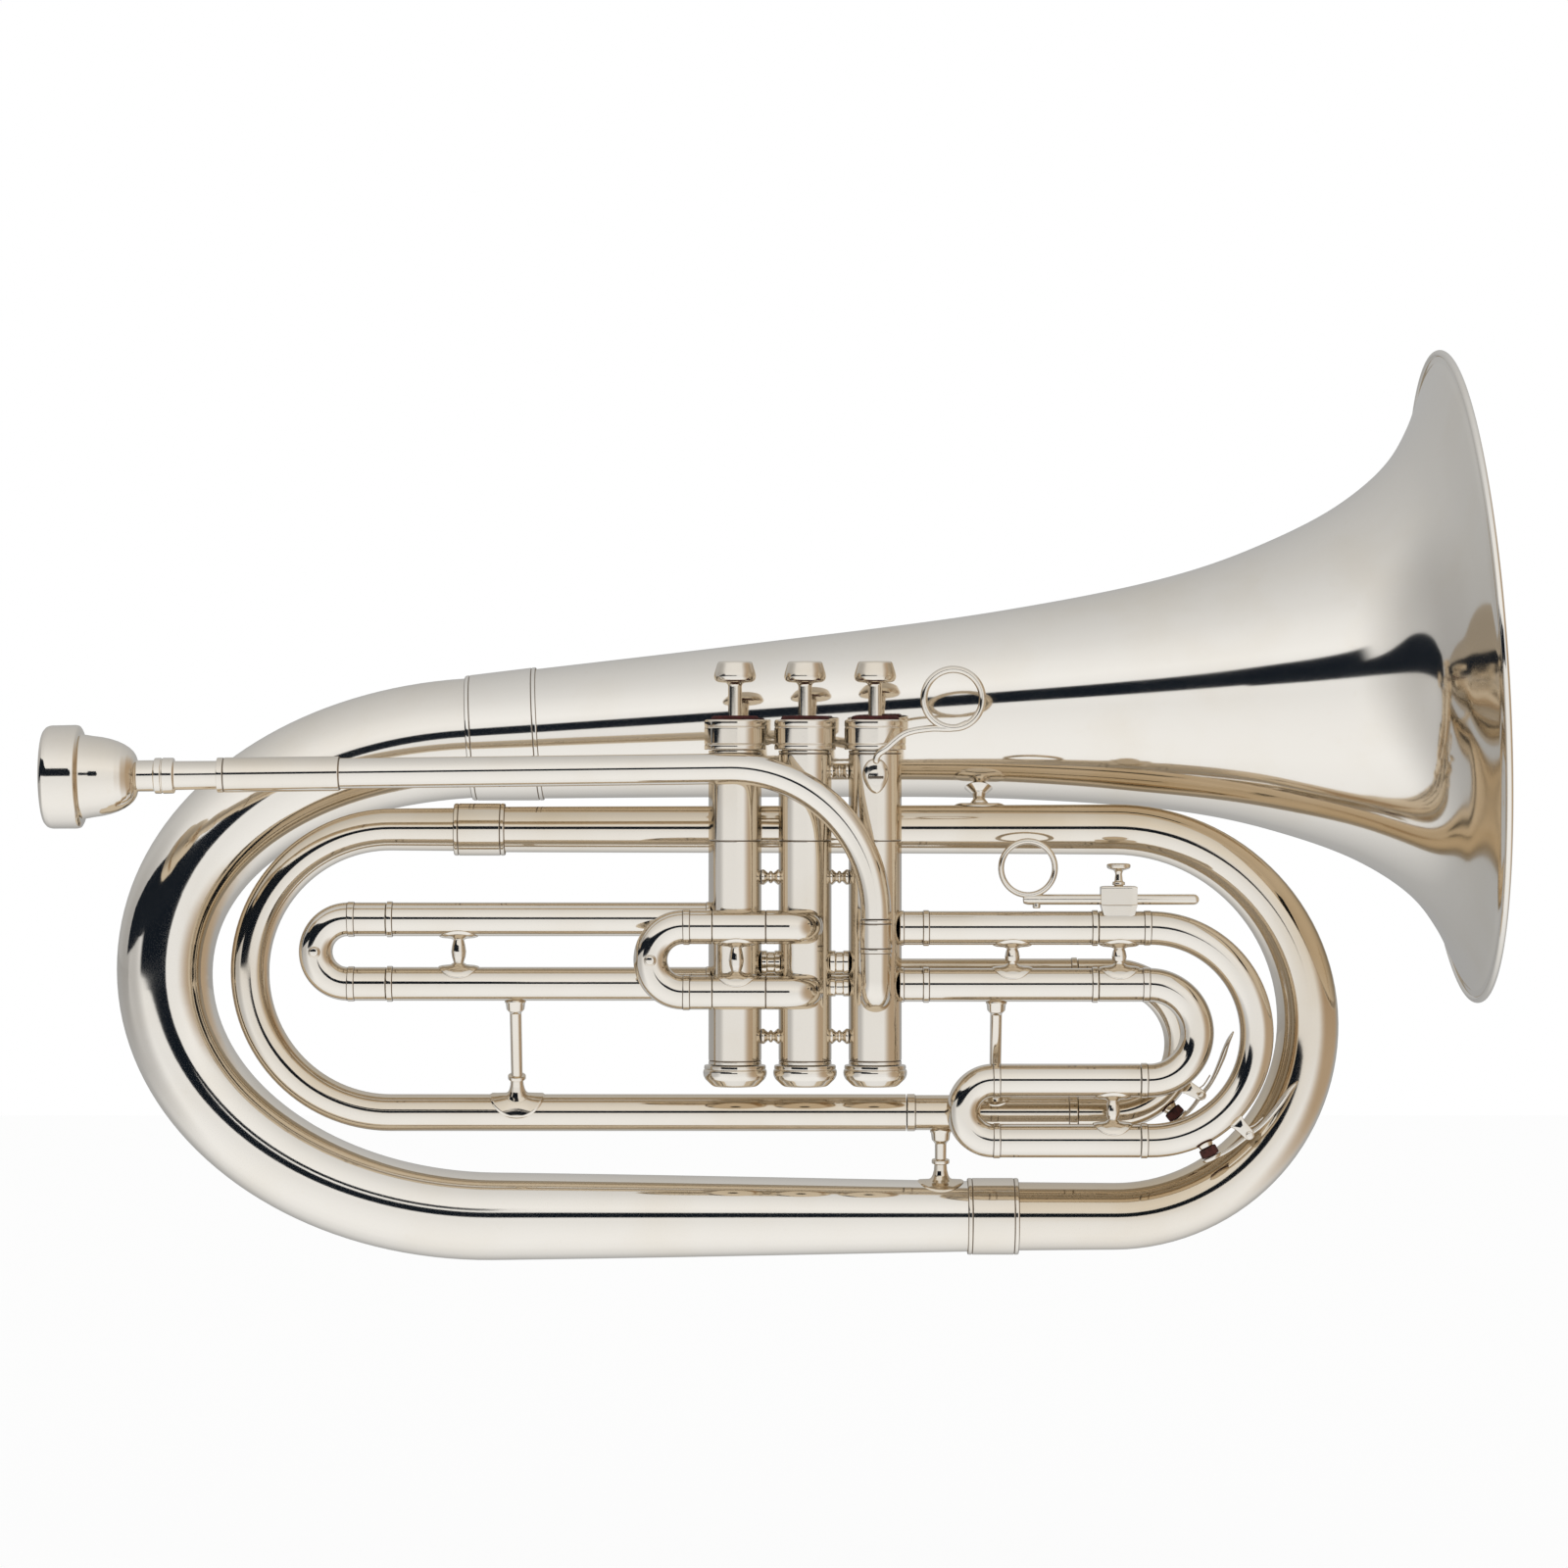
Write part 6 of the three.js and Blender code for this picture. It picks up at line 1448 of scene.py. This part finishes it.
class EUPH_OT_bell(PieceOperator, bpy.types.Operator):
    """Make the flared bell with its rolled rim"""
    bl_idname = "euphonium.bell"
    bl_label = "Bell"

    def execute(self, context):
        curve = bell_curve()[::-1]
        slope = unit(np.gradient(curve, axis=0))
        inside = curve - np.stack([-slope[:, 1], slope[:, 0]], -1) * BELL_WALL
        angle = np.radians(np.linspace(-150, 100, 18))
        lip = np.stack([BELL_LENGTH - BELL_BEAD + (BELL_BEAD - 0.07) * np.sin(angle),
                        BELL_RIM - BELL_BEAD + (BELL_BEAD - 0.07) * np.cos(angle)], -1)
        outer, inner = (np.stack([BELL_LENGTH - face[:, 0], face[:, 1]], -1)[:-3]
                        for face in (curve, inside))
        outline = np.vstack([outer, lip, inner[::-1]])
        self.silver("bell", [turned(BELL_THROAT, BELL_AXIS, outline, 160, 0, True)],
                    node=BELL_NODES, painted_reflection=0.0)
        return {"FINISHED"}


# Posts

def post_outline(gap, reach):
    """A turned collar at the head, a slim tapering rod, a ring, and a flared foot on a thin oval
    plate of the given reach."""
    return between(gap, [
        (0, 0), (0, 4.3), (0.9, 4.3), (1.3, 3.9), (4.0, 3.6), (5.0, 2.7), (5.6, 2.35)], [
        (9.2, 2.3), (8.9, 3.6), (7.4, 3.6), (7.1, 2.5), (4.6, 2.7), (2.6, 3.2), (1.4, 3.8),
        (0.75, 4.8), (0.6, reach - 0.7), (0.15, reach),
        *((0, reach * share) for share in (1, 0.75, 0.5, 0.25, 0))])


def bell_post_outline(gap):
    """A flared head under the bell, a waist, and a flared foot on a round plate."""
    return between(gap, [(0, 0), (0, 6.0), (0.5, 5.7), (gap * 0.35, 2.6), (gap * 0.6, 2.4)],
                   [(1.0, 4.2), (0.75, 9.6), (0.2, 10.6), (0, 10.6), (0, 0)])


class EUPH_OT_posts(PieceOperator, bpy.types.Operator):
    """Make the posts between the branches"""
    bl_idname = "euphonium.posts"
    bl_label = "Posts"

    def execute(self, context):
        left, centre, right, bell = -116.3, 55, 76.8, 71
        share = (LOW_JOINT_X - centre) / (LOW_JOINT_X - BACK_CORNER_X)
        centre_radius = BACK_RADII[0] + (BACK_RADII[1] - BACK_RADII[0]) * share
        share = (bell - TOP_JOINT_X) / (FRONT_BOW[0] - TOP_JOINT_X)
        front_radius = FRONT_RADII[0] + (FRONT_RADII[1] - FRONT_RADII[0]) * share
        distance = (bell - BELL_THROAT[0]) / BELL_AXIS[0]
        for name, head, head_radius, foot, foot_radius, outline, shape in (
                ("left_post", (left, 0, FIRST_Z[1]), TUBE_RADIUS,
                 (left, TUNING_Y, INNER_LOW_Z), INNER_RADII[0],
                 lambda gap: post_outline(gap, 11.2), {}),
                ("centre_post", (centre, TUNING_Y, INNER_LOW_Z), TUNING_LOW_RADIUS,
                 (centre, BRANCH_Y, FRONT_LOW_Z), centre_radius,
                 lambda gap: post_outline(gap, 9.4), {}),
                ("right_post", (right, 0, THIRD_Z[1]), TUBE_RADIUS,
                 (right, TUNING_Y, INNER_LOW_Z), TUNING_LOW_RADIUS,
                 lambda gap: post_outline(gap, 6.6), {"squash": (1.0, 0.9)}),
                ("bell_post", BELL_THROAT + BELL_AXIS * distance,
                 bell_radius(BELL_LENGTH - distance), (bell, BRANCH_Y, FRONT_TOP_Z), front_radius,
                 bell_post_outline, {"squash": (0.8, 0.8), "bite": 0.4, "fade": 1.6})):
            gap = np.linalg.norm(np.subtract(foot, head)) - head_radius - foot_radius
            self.silver(name, [fitted(head, head_radius, foot, foot_radius, outline(gap),
                                      **shape)], painted_reflection=0.4 if name == "bell_post" else 0.85)
        return {"FINISHED"}


# Hook ring

class EUPH_OT_hook_ring(PieceOperator, bpy.types.Operator):
    """Make the finger hook ring, its arm and its slotted plate"""
    bl_idname = "euphonium.hook_ring"
    bl_label = "Hook Ring"

    def execute(self, context):
        ring = ring_wire((HOOK_X, HOOK_Y, HOOK_Z), HOOK_RADIUS, HOOK_WIRE)
        plate_x, plate_y = VALVE_X["three"], -CASING_RADIUS - 0.3
        foot_z = HOOK_Z - HOOK_RADIUS
        span = HOOK_X - plate_x
        arm = wire([(HOOK_X + 6.5, HOOK_Y, foot_z + 2.2), (HOOK_X, HOOK_Y, foot_z - 0.1),
                    (HOOK_X - span * 0.3, HOOK_Y, foot_z - 0.2),
                    (HOOK_X - span * 0.62, HOOK_Y, foot_z - 2.2),
                    (plate_x + span * 0.14, HOOK_Y + 0.2, foot_z - 8.0),
                    (plate_x + 0.8, plate_y - 1.6, 59.0), (plate_x, plate_y - 1.2, 55.5)], 1.35, 20)
        theta = circle(48)[None]
        share = np.array([0, 0.55, 0.85, 0.97, 1.0, 1.0, 0])[:, None]
        lift = np.array([2.0, 1.9, 1.55, 1.0, 0.5, 0.0, 0.0])[:, None]
        drop = np.clip(-np.sin(theta), 0, 1)
        wide = 5.1 * share * np.cos(theta) * (1 - 0.1 * drop)
        tall = 6.4 * share * np.sin(theta) * (1 + 0.2 * drop ** 2)
        bend = wide / CASING_RADIUS
        depth = CASING_RADIUS + 0.1 + lift
        shield = weave(np.stack([plate_x + depth * np.sin(bend), -depth * np.cos(bend),
                                 51.4 + tall], -1), False)
        screw = slotted_head((plate_x, -CASING_RADIUS - 1.8, 50.2), 3.1, 1.1)
        self.silver("hook_ring", [ring, arm, shield, screw], look="trim")
        return {"FINISHED"}


class EUPH_PT_panel(bpy.types.Panel):
    """Settings and pieces of the euphonium."""
    bl_idname = "EUPH_PT_panel"
    bl_label = "Marching Euphonium"
    bl_space_type = "VIEW_3D"
    bl_region_type = "UI"
    bl_category = "Euphonium"

    def draw(self, context):
        for group in (context.scene.euphonium_finish, context.scene.euphonium_sizes):
            for name in group.__annotations__:
                self.layout.prop(group, name)
        for operator in OPERATORS:
            self.layout.operator(operator.bl_idname)


OPERATORS = (EUPH_OT_stage, EUPH_OT_valves, EUPH_OT_leadpipe, EUPH_OT_receivers, EUPH_OT_slides,
             EUPH_OT_water_keys, EUPH_OT_throw, EUPH_OT_branch, EUPH_OT_bell, EUPH_OT_posts,
             EUPH_OT_hook_ring)
CLASSES = (EUPH_PG_finish, EUPH_PG_sizes, *OPERATORS, EUPH_PT_panel)


def register():
    for item in CLASSES:
        bpy.utils.register_class(item)
    bpy.types.Scene.euphonium_finish = bpy.props.PointerProperty(type=EUPH_PG_finish)
    bpy.types.Scene.euphonium_sizes = bpy.props.PointerProperty(type=EUPH_PG_sizes)


def unregister():
    del bpy.types.Scene.euphonium_sizes
    del bpy.types.Scene.euphonium_finish
    for item in reversed(CLASSES):
        bpy.utils.unregister_class(item)


def main():
    register()
    for operator in OPERATORS:
        space, name = operator.bl_idname.split(".")
        getattr(getattr(bpy.ops, space), name)()


if __name__ == "__main__":
    main()
